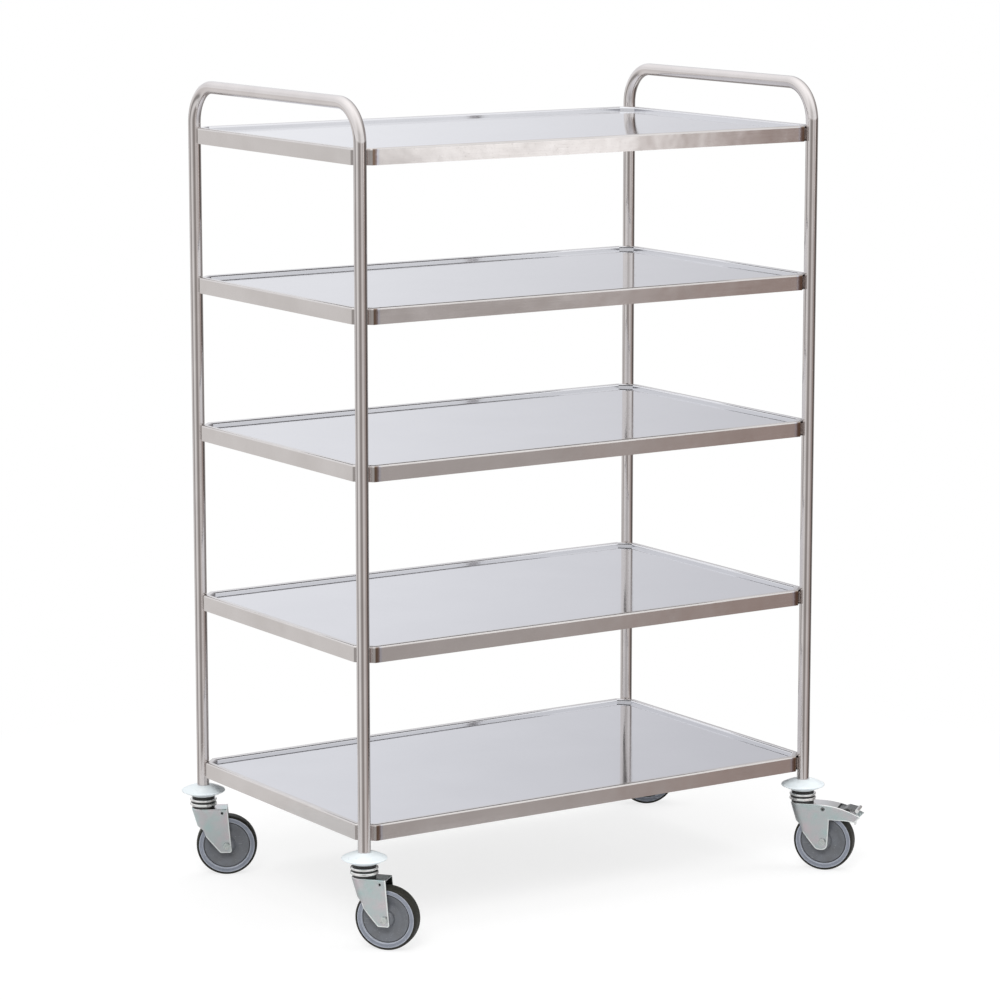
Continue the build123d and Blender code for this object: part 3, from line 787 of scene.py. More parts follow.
def finish_piece(
    shape: Shape, name: str, body: str, slot: Slot, finishes: Sequence[Finish], *nodes: str
) -> None:
    """Turn a modelled shape into a piece that rides on a body.

    Args:
        shape: the modelled shape, in the row frame.
        name: the piece's name.
        body: the body that it rides on.
        slot: the record slot that its finish belongs to; not used.
        finishes: its finishes, by material number.
        nodes: the CAD nodes that it stands for.
    """
    bmesh.ops.recalc_face_normals(shape, faces=shape.faces)
    for face in shape.faces:
        face.smooth = True
    for edge in shape.edges:
        edge.smooth = edge.is_manifold and edge.calc_face_angle() < SHARP_ANGLE
    mesh = bpy.data.meshes.new(name)
    shape.to_mesh(mesh)
    shape.free()
    for finish in finishes:
        mesh.materials.append(finish.material())
    piece = linked(name, mesh)
    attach(piece, body)
    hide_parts(*nodes)
    log.info("made %s on %s for %s", name, body, ", ".join(nodes) or "its look alone")


def angles_round(steps: int) -> list[float]:
    """Angles of even steps round a full turn."""
    return [FULL_TURN * step / steps for step in range(steps)]


def circle(
    shape: Shape, middle: Vector, radius: float, across: Vector, up: Vector, steps: int
) -> list[Vert]:
    """Put the points of a circle into a shape.

    Args:
        shape: the shape that the points go into.
        middle: the circle's middle.
        radius: its radius.
        across: the direction of its first point.
        up: the direction of the point a quarter turn on.
        steps: how many points it has.

    Returns:
        The points, in order.
    """
    return [
        shape.verts.new(middle + radius * (math.cos(angle) * across + math.sin(angle) * up))
        for angle in angles_round(steps)
    ]


def bridge(shape: Shape, ring: Sequence[Vert], after: Sequence[Vert]) -> list[Face]:
    """Join two rings that have as many points.

    Args:
        shape: the shape that the faces go into.
        ring: points of the first ring.
        after: points of the second ring.

    Returns:
        The new faces, in order round the rings.
    """
    onward = [*range(1, len(ring)), 0]
    return [
        shape.faces.new((ring[here], ring[ahead], after[ahead], after[here]))
        for here, ahead in enumerate(onward)
    ]


def capped_skin(shape: Shape, rings: Sequence[Sequence[Vert]]) -> None:
    """Join rings into a skin with a flat face at each end."""
    for ring, after in zip(rings, rings[1:]):
        bridge(shape, ring, after)
    shape.faces.new(reversed(rings[0]))
    shape.faces.new(rings[-1])


@dataclass(frozen=True)
class Turn:
    """One corner of a turned profile, in millimetres, with the rounding there."""

    radius: float
    height: float
    rounding: float = 0.0

    @property
    def place(self) -> Vector:
        """The corner itself, before it is rounded."""
        return Vector((self.radius, self.height))

    @property
    def opposite(self) -> "Turn":
        """The same corner on the other side of the middle plane."""
        return Turn(self.radius, -self.height, self.rounding)


def moved(turns: Sequence[Turn], radius: float = 0.0, height: float = 0.0) -> list[Turn]:
    """Carry corners outwards and upwards.

    Args:
        turns: the corners.
        radius: how far outwards.
        height: how far upwards.

    Returns:
        The corners in their new places.
    """
    return [Turn(turn.radius + radius, turn.height + height, turn.rounding) for turn in turns]


def both_sides(right: Sequence[Turn], on_middle: int = 0) -> list[Turn]:
    """Complete a profile that is the same on both sides of its middle plane.

    Args:
        right: corners of the right side, in order.
        on_middle: how many of the first ones lie on the middle plane.

    Returns:
        The corners of both sides, in order.
    """
    return [*right, *(turn.opposite for turn in reversed(right[on_middle:]))]


def rounded_profile(turns: Sequence[Turn], steps: int = 5) -> Profile:
    """Round the corners of a closed profile.

    Args:
        turns: its corners, in order.
        steps: straight steps in each rounding.

    Returns:
        Radius and height of each point, in metres.
    """
    points: list[tuple[float, float]] = []
    for index, turn in enumerate(turns):
        here = turn.place
        if turn.rounding == 0.0:
            points.append((here.x * MM, here.y * MM))
            continue
        before = turns[index - 1].place - here
        ahead = turns[(index + 1) % len(turns)].place - here
        half = before.angle(ahead) / 2
        longest = ROUNDING_SHARE * min(before.length, ahead.length)
        reach = min(turn.rounding / math.tan(half), longest)
        radius = reach * math.tan(half)
        inward = (before.normalized() + ahead.normalized()).normalized()
        middle = here + inward * (radius / math.sin(half))
        start = here + before.normalized() * reach - middle
        end = here + ahead.normalized() * reach - middle
        for step in range(steps + 1):
            arm = start.slerp(end, step / steps).normalized() * radius
            points.append(((middle.x + arm.x) * MM, (middle.y + arm.y) * MM))
    return points


def turn_profile(shape: Shape, profile: Profile, place: Matrix, segments: int) -> list[Face]:
    """Turn a closed profile round a local Z axis.

    Args:
        shape: the shape that the faces go into.
        profile: radius and height of each point, in metres.
        place: where local Z lies.
        segments: steps round the axis.

    Returns:
        The new faces.
    """
    rings = []
    for angle in angles_round(segments):
        across, up = math.cos(angle), math.sin(angle)
        rings.append([
            shape.verts.new(place @ Vector((radius * across, radius * up, height)))
            for radius, height in profile
        ])
    faces = []
    for ring, after in zip(rings, rings[1:] + rings[:1]):
        for index in range(len(profile)):
            ahead = (index + 1) % len(profile)
            faces.append(shape.faces.new((ring[index], after[index], after[ahead], ring[ahead])))
    return faces


@dataclass
class TubeFrame:
    """The two end frames: each one bent tube that makes two posts and a handle."""

    bend_radius: float = 75 * MM
    wall: float = 1.5 * MM
    around: int = 48
    bend_steps: int = 24
    straight_step: float = 60 * MM

    def build(self) -> None:
        """Build both bent tubes."""
        for side in Side:
            node = f"end_frame_{side.value}"
            shape = self._tube(node)
            finish_piece(shape, f"bent_tube_{side.value}", ROOT_BODY, Slot.TUBE, [SATIN_TUBE], node)

    def _route(self, node: str) -> Iterator[Stop]:
        """Follow the tube's centre line from one foot to the other.

        Args:
            node: the CAD node that holds the tube.

        Returns:
            Each point, the direction there and the length so far.
        """
        low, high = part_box(node)
        radius = (high.x - low.x) / 2
        x, top = low.x + radius, high.z - radius
        half = (high.y - low.y) / 2 - radius
        knee, shoulder = top - self.bend_radius, half - self.bend_radius
        rise, quarter = knee - low.z, self.bend_radius * math.pi / 2
        up, over = Vector((0, 0, 1)), Vector((0, 1, 0))
        foot = Vector((x, -half, low.z))
        yield foot, up, 0.0
        yield from self._straight(foot, up, rise, 0.0)
        yield from self._bend(x, -shoulder, knee, math.pi, rise)
        run = rise + quarter
        yield from self._straight(Vector((x, -shoulder, top)), over, 2 * shoulder, run)
        run += 2 * shoulder
        yield from self._bend(x, shoulder, knee, math.pi / 2, run)
        run += quarter
        yield from self._straight(Vector((x, half, knee)), -up, rise, run)
        yield Vector((x, half, low.z)), -up, run + rise

    def _straight(self, start: Vector, ahead: Vector, length: float, run: float) -> Iterator[Stop]:
        """Follow a straight length between its two ends.

        Args:
            start: where it starts.
            ahead: its direction.
            length: how long it is.
            run: length so far.

        Returns:
            Each point between the ends, the direction there and the length so far.
        """
        rungs = math.ceil(length / self.straight_step)
        for rung in range(1, rungs):
            done = length * rung / rungs
            yield start + ahead * done, ahead, run + done

    def _bend(self, x: float, middle: float, knee: float, start: float, run: float) -> Iterator[Stop]:
        """Follow a quarter bend, turning from an angle towards the far post.

        Args:
            x: place of the tube along the shelves.
            middle: where the bend's centre lies across the shelves.
            knee: height of the bend's centre.
            start: angle at which the bend starts.
            run: length so far.

        Returns:
            Each point, the direction there and the length so far.
        """
        for step in range(self.bend_steps + 1):
            turned = math.pi / 2 * step / self.bend_steps
            angle = start - turned
            point = Vector((x, middle + self.bend_radius * math.cos(angle),
                            knee + self.bend_radius * math.sin(angle)))
            yield point, Vector((0, math.sin(angle), -math.cos(angle))), run + self.bend_radius * turned

    def _tube(self, node: str) -> Shape:
        """Model a hollow tube along the route, with a map that runs along and round it."""
        low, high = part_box(node)
        outer = (high.x - low.x) / 2
        shape = bmesh.new()
        layer = shape.loops.layers.uv.new(TUBE_MAP)
        stops = list(self._route(node))
        skins = [self._skin(shape, layer, stops, radius) for radius in (outer, outer - self.wall)]
        for end in (0, -1):
            bridge(shape, skins[0][end], skins[1][end])
        return shape

    def _skin(
        self, shape: Shape, layer: object, stops: Sequence[Stop], radius: float
    ) -> list[list[Vert]]:
        """Model one skin of the tube.

        Args:
            shape: the shape that the skin goes into.
            layer: the map that runs along and round the tube.
            stops: points, directions and lengths along the route.
            radius: the skin's radius.

        Returns:
            The rings of points, from one foot to the other.
        """
        across = Vector((1, 0, 0))
        rings = [
            circle(shape, point, radius, across, across.cross(ahead), self.around)
            for point, ahead, _ in stops
        ]
        girth = FULL_TURN * radius / self.around
        for place, (ring, after) in enumerate(zip(rings, rings[1:])):
            start, end = stops[place][2], stops[place + 1][2]
            for index, face in enumerate(bridge(shape, ring, after)):
                corners = (start, index), (start, index + 1), (end, index + 1), (end, index)
                for loop, (length, turn) in zip(face.loops, corners):
                    loop[layer].uv = (length, turn * girth)
        return rings


@dataclass
class TrayShelves:
    """The five pressed trays and the channels under their decks."""

    tray_depth: float = 7 * MM
    tolerance: float = 0.4 * MM
    flat: float = 0.95

    def dress(self) -> None:
        """Polish each deck, brush its rails and leave its underside as milled."""
        for level in Level:
            node = f"{level.value}_shelf"
            dress_node(node, [BRUSHED_RAIL, MIRROR_DECK, MILL_UNDERSIDE], self._zone(node))
            dress_node(f"{level.value}_stiffener", [MILL_UNDERSIDE])

    def _zone(self, node: str) -> Zone:
        """Rule that sorts a shelf's faces into rail, deck and underside."""
        _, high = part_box(node)
        deck = high.z - self.tray_depth

        def zone(centre: Vector, normal: Vector) -> ShelfFace:
            """Kind of one face."""
            if normal.z > self.flat and abs(centre.z - deck) < self.tolerance:
                return ShelfFace.DECK
            outward = normal.x * centre.x + normal.y * centre.y > 0
            if centre.z > deck - self.tolerance:
                return ShelfFace.RAIL if outward or normal.z > self.flat else ShelfFace.DECK
            return ShelfFace.RAIL if outward and abs(normal.z) < self.flat else ShelfFace.UNDERSIDE

        return zone


@dataclass
class WeldSeams:
    """Rippled beads that hold each cut shelf corner to its post."""

    corner_cut: float = 30 * MM
    aside: float = 7.9 * MM
    proud: float = 1.5 * MM
    radius: float = 2.1 * MM
    inset: float = 2.5 * MM
    ripple: float = 1.7 * MM
    ripple_depth: float = 0.16
    end_share: float = 0.35
    taper: float = 6.0
    steps: int = 5
    around: int = 12

    def build(self) -> None:
        """Build every bead as one piece."""
        shape = bmesh.new()
        cut = self.corner_cut / 2
        for level, side_x, side_y, way in product(Level, (-1, 1), (-1, 1), (-1, 1)):
            low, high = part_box(f"{level.value}_shelf")
            corner = Vector((side_x * (high.x - cut), side_y * (high.y - cut), 0))
            out = Vector((side_x, side_y, 0)).normalized()
            along = Vector((side_y, -side_x, 0)).normalized()
            foot = corner + way * self.aside * along + self.proud * out
            self._bead(shape, foot, low.z + self.inset, high.z - 2 * self.inset)
        finish_piece(shape, "weld_beads", ROOT_BODY, Slot.WELD, [WELD_METAL], "weld_seams")

    def _bead(self, shape: Shape, foot: Vector, bottom: float, top: float) -> None:
        """Model one upright bead with even ripples and tapered ends.

        Args:
            shape: the shape that the bead goes into.
            foot: the bead's place in plan.
            bottom: height of its lower end.
            top: height of its upper end.
        """
        last = round((top - bottom) / self.ripple) * self.steps
        across, up = Vector((1, 0, 0)), Vector((0, 1, 0))
        rings = []
        for step in range(last + 1):
            share = step / last
            wave = abs(math.sin(math.pi * step / self.steps))
            taper = min(1.0, self.end_share + self.taper * min(share, 1 - share))
            radius = self.radius * taper * (1 - self.ripple_depth + self.ripple_depth * wave)
            middle = Vector((foot.x, foot.y, bottom + (top - bottom) * share))
            rings.append(circle(shape, middle, radius, across, up, self.around))
        capped_skin(shape, rings)


@dataclass
class PostFeet:
    """Bumper discs and fixed castor heads under the four posts.

    The corners of the profiles are in millimetres from what each table's name says.
    """

    segments: int = 96
    rim_height: float = 10.5
    neck_within: float = 23.5 * MM

    FROM_DISC_FOOT: ClassVar[Sequence[Turn]] = (
        Turn(BORE, 0.0),
        Turn(25.0, 0.0, 1.0),
    )
    FROM_DISC_RIM: ClassVar[Sequence[Turn]] = (
        Turn(-1.2, -1.9, 1.8),
        Turn(0.0, 0.0, 1.4),
        Turn(-1.6, 1.9, 2.2),
    )
    FROM_DISC_TOP: ClassVar[Sequence[Turn]] = (
        Turn(29.0, -3.0, 40.0),
        Turn(15.6, 0.0, 1.0),
        Turn(12.6, 0.0, 0.4),
        Turn(12.6, -3.0),
        Turn(BORE, -3.0),
    )
    FROM_HEAD_FOOT: ClassVar[Sequence[Turn]] = (
        Turn(BORE, 0.0),
        Turn(27.4, 0.0, 1.9),
        Turn(27.4, 5.0, 1.9),
        Turn(22.9, 5.0, 0.3),
    )
    FROM_HEAD_TOP: ClassVar[Sequence[Turn]] = (
        Turn(22.9, 0.0),
        Turn(BORE, 0.0),
    )

    def build(self) -> None:
        """Build the discs and the heads, and dress what they clamp."""
        discs = self._turned(self._disc_profile())
        finish_piece(discs, "moulded_bumpers", ROOT_BODY, Slot.BUMPER, [ICE_PLASTIC], "bumper_discs")
        heads = self._turned(self._head_profile(), self.neck_within)
        # The necks take the black finish: painted shade under the discs.
        finishes = [POLISHED_RING_AND_PAINTED_HIGHLIGHT, BLACK_RUBBER_AND_PAINTED_SHADE]
        finish_piece(heads, "turned_heads", ROOT_BODY, Slot.ZINC, finishes, "castor_heads")
        dress_node("tube_sockets", [PLATED_FASTENER])
        dress_node("castor_bolts", [PLATED_FASTENER])

    def _turned(self, profile: Profile, neck_within: float = 0.0) -> Shape:
        """Turn one profile about each post.

        Args:
            profile: radius and height of each point, in metres.
            neck_within: radius inside which faces belong to a neck.

        Returns:
            The shape.
        """
        shape = bmesh.new()
        for corner in Corner:
            post, _ = joint_line(corner.named("swivel"))
            place = Matrix.Translation((post.x, post.y, 0))
            for face in turn_profile(shape, profile, place, self.segments):
                middle = face.calc_center_median()
                inside = math.hypot(middle.x - post.x, middle.y - post.y) < neck_within
                face.material_index = HeadFace.NECK if inside else HeadFace.RING
        return shape

    def _disc_profile(self) -> Profile:
        """Double cone with a soft rim, a collar round the post and a flat foot."""
        low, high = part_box("bumper_discs")
        post, _ = joint_line(Corner.BACK_RIGHT.named("swivel"))
        foot, top, rim = low.z / MM, high.z / MM, (high.x - post.x) / MM
        return rounded_profile([
            *moved(self.FROM_DISC_FOOT, height=foot),
            *moved(self.FROM_DISC_RIM, rim, foot + self.rim_height),
            *moved(self.FROM_DISC_TOP, height=top),
        ])

    def _head_profile(self) -> Profile:
        """Turned head: a polished ring and, above it, a neck in a black finish that is painted shade under
        the disc.
        """
        low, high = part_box("castor_heads")
        return rounded_profile([
            *moved(self.FROM_HEAD_FOOT, height=low.z / MM),
            *moved(self.FROM_HEAD_TOP, height=high.z / MM),
        ])


@dataclass
class Castors:
    """The four swivel castors: forks, wheels, tyres and what holds them.

    Profiles and fasteners are in millimetres, the corners of the profiles from what each table's
    name says.
    """

    segments: int = 112
    rounding_steps: int = 4
    ring_width: float = 8.6
    edge_width: float = 1.1
    groove_width: float = 3.0
    lip: float = 1.0
    axle: float = 8.0
    axle_end: float = 8.4
    across: float = 13.0
    head_height: float = 5.5
    nut_height: float = 4.6
    nut_bore: float = 8.2
    nut_collar: float = 1.8
    fork_inner: float = 20.0 * MM
    cup_height: float = 11.0 * MM
    cup_ring: float = 6.0 * MM
    waist_radius: float = 23.5 * MM
    hood_rise: float = 30 * MM
    hood_slope: float = 0.6
    edge_slope: float = 0.5
    edge_lean: float = 0.2
    plate_facing: float = 0.35
    near: float = 0.2 * MM
    merge: float = 1e-6
    edge_round: float = 1.4 * MM
    edge_depth: float = 1.0 * MM
    edge_around: int = 10
    smallest_outline: float = 70 * MM

    FROM_AXLE: ClassVar[Sequence[Turn]] = (
        Turn(BORE, 18.9, 0.5),
        Turn(13.2, 18.9, 0.8),
        Turn(16.6, 15.5, 1.0),
        Turn(17.4, 8.6, 2.0),
        Turn(28.0, 5.2, 14.0),
    )
    FROM_RING: ClassVar[Sequence[Turn]] = (
        Turn(-3.4, 11.6, 2.0),
        Turn(-2.4, 10.4, 0.6),
        Turn(-1.0, 10.6, 0.4),
        Turn(0.0, 14.6, 0.8),
        Turn(3.2, 14.0, 0.6),
    )
    FROM_RIM: ClassVar[Sequence[Turn]] = (
        Turn(-3.0, 14.0, 0.6),
        Turn(-1.6, 14.8, 0.5),
        Turn(-0.1, 14.4, 0.4),
    )
    FROM_TREAD: ClassVar[Sequence[Turn]] = (
        Turn(0.0, 0.0),
        Turn(-0.25, 8.0, 20.0),
        Turn(-0.7, 12.8, 3.0),
        Turn(-2.6, 15.7, 2.0),
    )
    FROM_TYRE_SEAT: ClassVar[Sequence[Turn]] = (
        Turn(0.9, 16.0, 0.6),
        Turn(0.0, 15.4, 0.3),
    )

    def build(self) -> None:
        """Build and dress each castor."""
        for corner in Corner:
            # A fork's cup ring and hood top are painted highlight, its waist painted shade and its edges
            # painted highlight.
            dress_node(
                corner.named("fork"), [BRIGHT_ZINC, POLISHED_RING_AND_PAINTED_HIGHLIGHT, BLACK_RUBBER_AND_PAINTED_SHADE, PAINTED_EDGE_HIGHLIGHT],
                self._fork_zone(corner),
            )
            dress_node(corner.named("swivel_seal"), [BLACK_RUBBER_AND_PAINTED_SHADE])
            dress_node(corner.named("axle_bush"), [PLATED_FASTENER])
            hub, axis = joint_line(corner.named("wheel_spin"))
            place = axis_place(hub, axis)
            self._rolled_edges(corner)
            self._wheel(corner, place)
            self._tyre(corner, place)
            self._axle(corner, place)

    def _fork_zone(self, corner: Corner) -> Zone:
        """Rule that sorts a fork's faces into plate, swivel ring, waist and edge: the ring and the hood's
        top are lighter as painted highlight, the waist black as painted shade, the edge pale as painted
        highlight.
        """
        swivel, _ = joint_line(corner.named("swivel"))
        hub, axle = joint_line(corner.named("wheel_spin"))
        _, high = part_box(corner.named("fork"))
        ring_foot = high.z - self.cup_ring - self.near
        waist_foot = high.z - self.cup_height + self.near

        def zone(centre: Vector, normal: Vector) -> ForkFace:
            """Kind of one face."""
            # At the cup, the lighter ring is painted highlight and the black waist inside it is painted
            # shade.
            if centre.z > waist_foot:
                inside = math.hypot(centre.x - swivel.x, centre.y - swivel.y) < self.waist_radius
                return ForkFace.RING if centre.z > ring_foot and not inside else ForkFace.WAIST
            # A brake hood's top takes the lighter ring finish: painted highlight.
            if corner.braked and normal.z > self.hood_slope and centre.z > hub.z + self.hood_rise:
                return ForkFace.RING
            aside = abs((centre - hub).dot(axle))
            # Faces along the plates' outer edges take a pale finish: painted highlight.
            painted_highlight_edge = abs(normal.dot(axle)) < self.edge_lean and normal.z < self.edge_slope
            return ForkFace.EDGE if painted_highlight_edge and aside > self.fork_inner else ForkFace.PLATE

        return zone

    def _rolled_edges(self, corner: Corner) -> None:
        """Model the smoothed outer edges of one fork's sheet as a fine round along each outline."""
        skin = bmesh.new()
        skin.from_mesh(frame["nodes"][corner.named("fork")].data)
        bmesh.ops.remove_doubles(skin, verts=skin.verts, dist=self.merge)
        inward: dict[Vert, Vector] = {}
        paths: dict[Vert, list[Vert]] = {}
        for edge in self._outer_edges(corner, skin):
            share = edge.link_faces[0].normal + edge.link_faces[1].normal
            for vert, other in (edge.verts, reversed(edge.verts)):
                paths.setdefault(vert, []).append(other)
                inward[vert] = inward.get(vert, Vector()) - share
        shape = bmesh.new()
        for route in self._routes(paths):
            length = sum((after.co - before.co).length for before, after in zip(route, route[1:]))
            if length > self.smallest_outline:
                self._round_bar(shape, [(vert.co, inward[vert].normalized()) for vert in route])
        skin.free()
        # The rolled edges take a pale finish: painted highlight along each outline.
        finish_piece(
            shape, corner.named("rolled_edges"), corner.named("castor"), Slot.ZINC, [PAINTED_EDGE_HIGHLIGHT]
        )

    def _outer_edges(self, corner: Corner, skin: Shape) -> Iterator[bmesh.types.BMEdge]:
        """Find the sharp edges round the outside of a fork's two plates.

        Args:
            corner: the fork's corner.
            skin: the fork's own skin.

        Returns:
            Each edge below the cup.
        """
        hub, axle = joint_line(corner.named("wheel_spin"))
        _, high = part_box(corner.named("fork"))
        crown = high.z - self.cup_height + self.near
        for edge in skin.edges:
            if len(edge.link_faces) != 2 or edge.calc_face_angle() < SHARP_ANGLE or not edge.is_convex:
                continue
            middle = (edge.verts[0].co + edge.verts[1].co) / 2
            aside = (middle - hub).dot(axle)
            out = axle if aside > 0 else -axle
            facing = max(face.normal.dot(out) for face in edge.link_faces)
            if abs(aside) >= self.fork_inner and facing >= self.plate_facing and middle.z <= crown:
                yield edge

    @staticmethod
    def _routes(paths: dict[Vert, list[Vert]]) -> Iterator[list[Vert]]:
        """Chain neighbouring points into runs, open ones first.

        Args:
            paths: the neighbours of each point.

        Returns:
            The points of each run, in order.
        """
        used: set[frozenset[Vert]] = set()
        starts = sorted(paths, key=lambda vert: (len(paths[vert]) == 2, vert.index))
        for start in starts:
            for first in paths[start]:
                if frozenset((start, first)) in used:
                    continue
                route = [start]
                ahead = first
                while ahead is not None:
                    used.add(frozenset((route[-1], ahead)))
                    route.append(ahead)
                    onward = [vert for vert in paths[ahead] if frozenset((ahead, vert)) not in used]
                    ahead = onward[0] if len(paths[ahead]) == 2 and onward else None
                yield route

    def _round_bar(self, shape: Shape, route: Sequence[tuple[Vector, Vector]]) -> None:
        """Model a fine round bar that is sunk into an edge.

        Args:
            shape: the shape that the bar goes into.
            route: points along the edge and the directions into the sheet.
        """
        rings = []
        for index, (point, into) in enumerate(route):
            before = route[max(index - 1, 0)][0]
            after = route[min(index + 1, len(route) - 1)][0]
            along = (after - before).normalized()
            into = (into - along * into.dot(along)).normalized()
            aside = along.cross(into)
            middle = point + into * self.edge_depth * math.sqrt(2)
            rings.append(circle(shape, middle, self.edge_round, into, aside, self.edge_around))
        capped_skin(shape, rings)

    def _wheel(self, corner: Corner, place: Matrix) -> None:
        """Model one moulded wheel with its ring, dished web and hub."""
        rim = self._radius(corner.named("wheel"))
        ring = rim - self.ring_width
        right = [*self.FROM_AXLE, *moved(self.FROM_RING, ring), *moved(self.FROM_RIM, rim)]
        shape = bmesh.new()
        profile = rounded_profile(both_sides(right), self.rounding_steps)
        back = place.inverted()
        for face in turn_profile(shape, profile, place, self.segments):
            centre = back @ face.calc_center_median()
            face.material_index = self._wheel_face(math.hypot(centre.x, centre.y) / MM, rim)
        finish_piece(
            shape, corner.named("moulded_wheel"), corner.named("rolling_wheel"), Slot.WHEEL,
            [WHEEL_WEB, WHEEL_RING, WHEEL_EDGE_PAINTED_HIGHLIGHT, WHEEL_GROOVE_PAINTED_SHADE], corner.named("wheel"),
        )

    def _wheel_face(self, out: float, rim: float) -> WheelFace:
        """Kind of a wheel's face.

        Args:
            out: how far the face lies from the axle.
            rim: the wheel's radius.

        Returns:
            The kind.
        """
        ring = rim - self.ring_width
        # A near-black band inside the ring is painted shade.
        if ring - self.groove_width < out < ring - self.edge_width:
            return WheelFace.GROOVE
        # Lighter bands at the ring's edges are painted highlight.
        if abs(out - ring) < self.edge_width or abs(out - rim + self.lip) < self.edge_width:
            return WheelFace.EDGE
        # The web's darker tone against the ring is painted shade.
        return WheelFace.RING if out > ring else WheelFace.WEB

    def _tyre(self, corner: Corner, place: Matrix) -> None:
        """Model one tyre with round shoulders, a low crown and a line round its middle."""
        outer, inner = self._radius(corner.named("tyre")), self._radius(corner.named("wheel"))
        right = [*moved(self.FROM_TREAD, outer), *moved(self.FROM_TYRE_SEAT, inner)]
        shape = bmesh.new()
        profile = rounded_profile(both_sides(right, on_middle=1), self.rounding_steps)
        turn_profile(shape, profile, place, self.segments)
        finish_piece(
            shape, corner.named("moulded_tyre"), corner.named("rolling_wheel"), Slot.TYRE,
            [TYRE_RUBBER], corner.named("tyre"),
        )

    def _axle(self, corner: Corner, place: Matrix) -> None:
        """Model the axle bolt, with its hexagon head, and the locking nut on its far end."""
        body = corner.named("castor")
        bolt = HexFastener(self.across, self.head_height)
        nut = HexFastener(self.across, self.nut_height)
        head_side = self._head_side(corner, place)
        half_turn = Matrix.Rotation(math.pi, 4, "X")
        near = place @ Matrix.Translation((0, 0, head_side * FORK_OUTER * MM))
        if head_side < 0:
            near = near @ half_turn
        far = near @ Matrix.Translation((0, 0, -2 * FORK_OUTER * MM)) @ half_turn
        shape = bmesh.new()
        bolt.head(shape, near)
        bolt.shank(shape, far, diameter=self.axle, back=2 * FORK_OUTER, length=self.axle_end)
        finish_piece(
            shape, corner.named("axle_screw"), body, Slot.FASTENER, [PLATED_FASTENER],
            corner.named("axle_bolt"),
        )
        shape = bmesh.new()
        nut.locking(shape, far, bore=self.nut_bore, collar=self.nut_collar)
        finish_piece(
            shape, corner.named("locking_nut"), body, Slot.FASTENER, [PLATED_FASTENER],
            corner.named("axle_nut"),
        )

    @staticmethod
    def _radius(node: str) -> float:
        """Radius of a wheel or tyre, in millimetres."""
        low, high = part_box(node)
        return (high.z - low.z) / 2 / MM

    @staticmethod
    def _head_side(corner: Corner, place: Matrix) -> int:
        """Which way along the axle the bolt's head lies."""
        low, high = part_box(corner.named("axle_nut"))
        nut = place.inverted() @ ((low + high) / 2)
        return -1 if nut.z > 0 else 1


@dataclass
class HexFastener:
    """A hexagon head or nut with chamfered corners, in millimetres."""

    across: float
    height: float
    steps: int = 72
    chamfer_start: float = 0.94
    chamfer_slope: float = math.tan(math.radians(30))
    washer: float = 0.5
    dish_depth: float = 0.4
    dish_share: float = 0.34
    end_chamfer: float = 0.8
    collar_share: float = 0.43
    collar_round: Span = (0.7, 0.6)

    def _ring(self, height: float, radius: float | None = None) -> list[Vector]:
        """Points round the axis.

        Args:
            height: height of the points.
            radius: radius of a circle, or None for the hexagon.

        Returns:
            The points, in metres.
        """
        points = []
        for angle in angles_round(self.steps):
            out = self._flat(angle) if radius is None else radius
            points.append(Vector((out * math.cos(angle), out * math.sin(angle), height)) * MM)
        return points

    def _flat(self, angle: float) -> float:
        """Radius of the hexagon at an angle."""
        return self.across / 2 / math.cos((angle + math.pi / 6) % (math.pi / 3) - math.pi / 6)

    def _rings(self, foot: float, top: float) -> list[list[Vector]]:
        """Rings of the hexagon from its foot to its chamfered top."""
        start = self.chamfer_start * self.across / 2
        edge = self._ring(top)
        for point, angle in zip(edge, angles_round(self.steps)):
            point.z = (top - (self._flat(angle) - start) * self.chamfer_slope) * MM
        return [self._ring(foot), edge, self._ring(top, start)]

    @staticmethod
    def _stack(shape: Shape, rings: Sequence[Sequence[Vector]], place: Matrix, closed: bool) -> None:
        """Join rings into a skin.

        Args:
            shape: the shape that the skin goes into.
            rings: the rings, in order.
            place: where they go.
            closed: whether the last ring joins the first one, round a bore.
        """
        made = [[shape.verts.new(place @ point) for point in ring] for ring in rings]
        if not closed:
            capped_skin(shape, made)
            return
        for ring, after in zip(made, made[1:] + made[:1]):
            bridge(shape, ring, after)

    def head(self, shape: Shape, place: Matrix) -> None:
        """Model a bolt head with a washer face under it and a low dish on top."""
        washer = [self._ring(height, self.across / 2) for height in (0.0, self.washer)]
        dish = self._ring(self.height - self.dish_depth, self.across * self.dish_share)
        rings = [*washer, *self._rings(self.washer, self.height), dish]
        self._stack(shape, rings, place, closed=False)

    def shank(
        self, shape: Shape, place: Matrix, diameter: float, back: float, length: float
    ) -> None:
        """Model the bolt's shank, from the far end's chamfer back to the head.

        Args:
            shape: the shape that the shank goes into.
            place: the far face of the fork, looking outwards.
            diameter: the shank's diameter.
            back: how far it runs back, into the fork.
            length: how far it stands out.
        """
        radius = diameter / 2
        rings = [
            self._ring(-back, radius),
            self._ring(length - self.end_chamfer, radius),
            self._ring(length, radius - self.end_chamfer),
        ]
        self._stack(shape, rings, place, closed=False)

    def locking(self, shape: Shape, place: Matrix, bore: float, collar: float) -> None:
        """Model a locking nut: a hexagon with a rounded collar on its outer end.

        Args:
            shape: the shape that the nut goes into.
            place: the face of the fork, looking outwards.
            bore: the bore's diameter.
            collar: the collar's height.
        """
        top = self.height + collar
        out = self.across * self.collar_share
        inward, down = self.collar_round
        rings = [
            *self._rings(0.0, self.height),
            self._ring(self.height, out),
            self._ring(top - down, out),
            self._ring(top, out - inward),
            self._ring(top, bore / 2),
            self._ring(0.0, bore / 2),
        ]
        self._stack(shape, rings, place, closed=True)


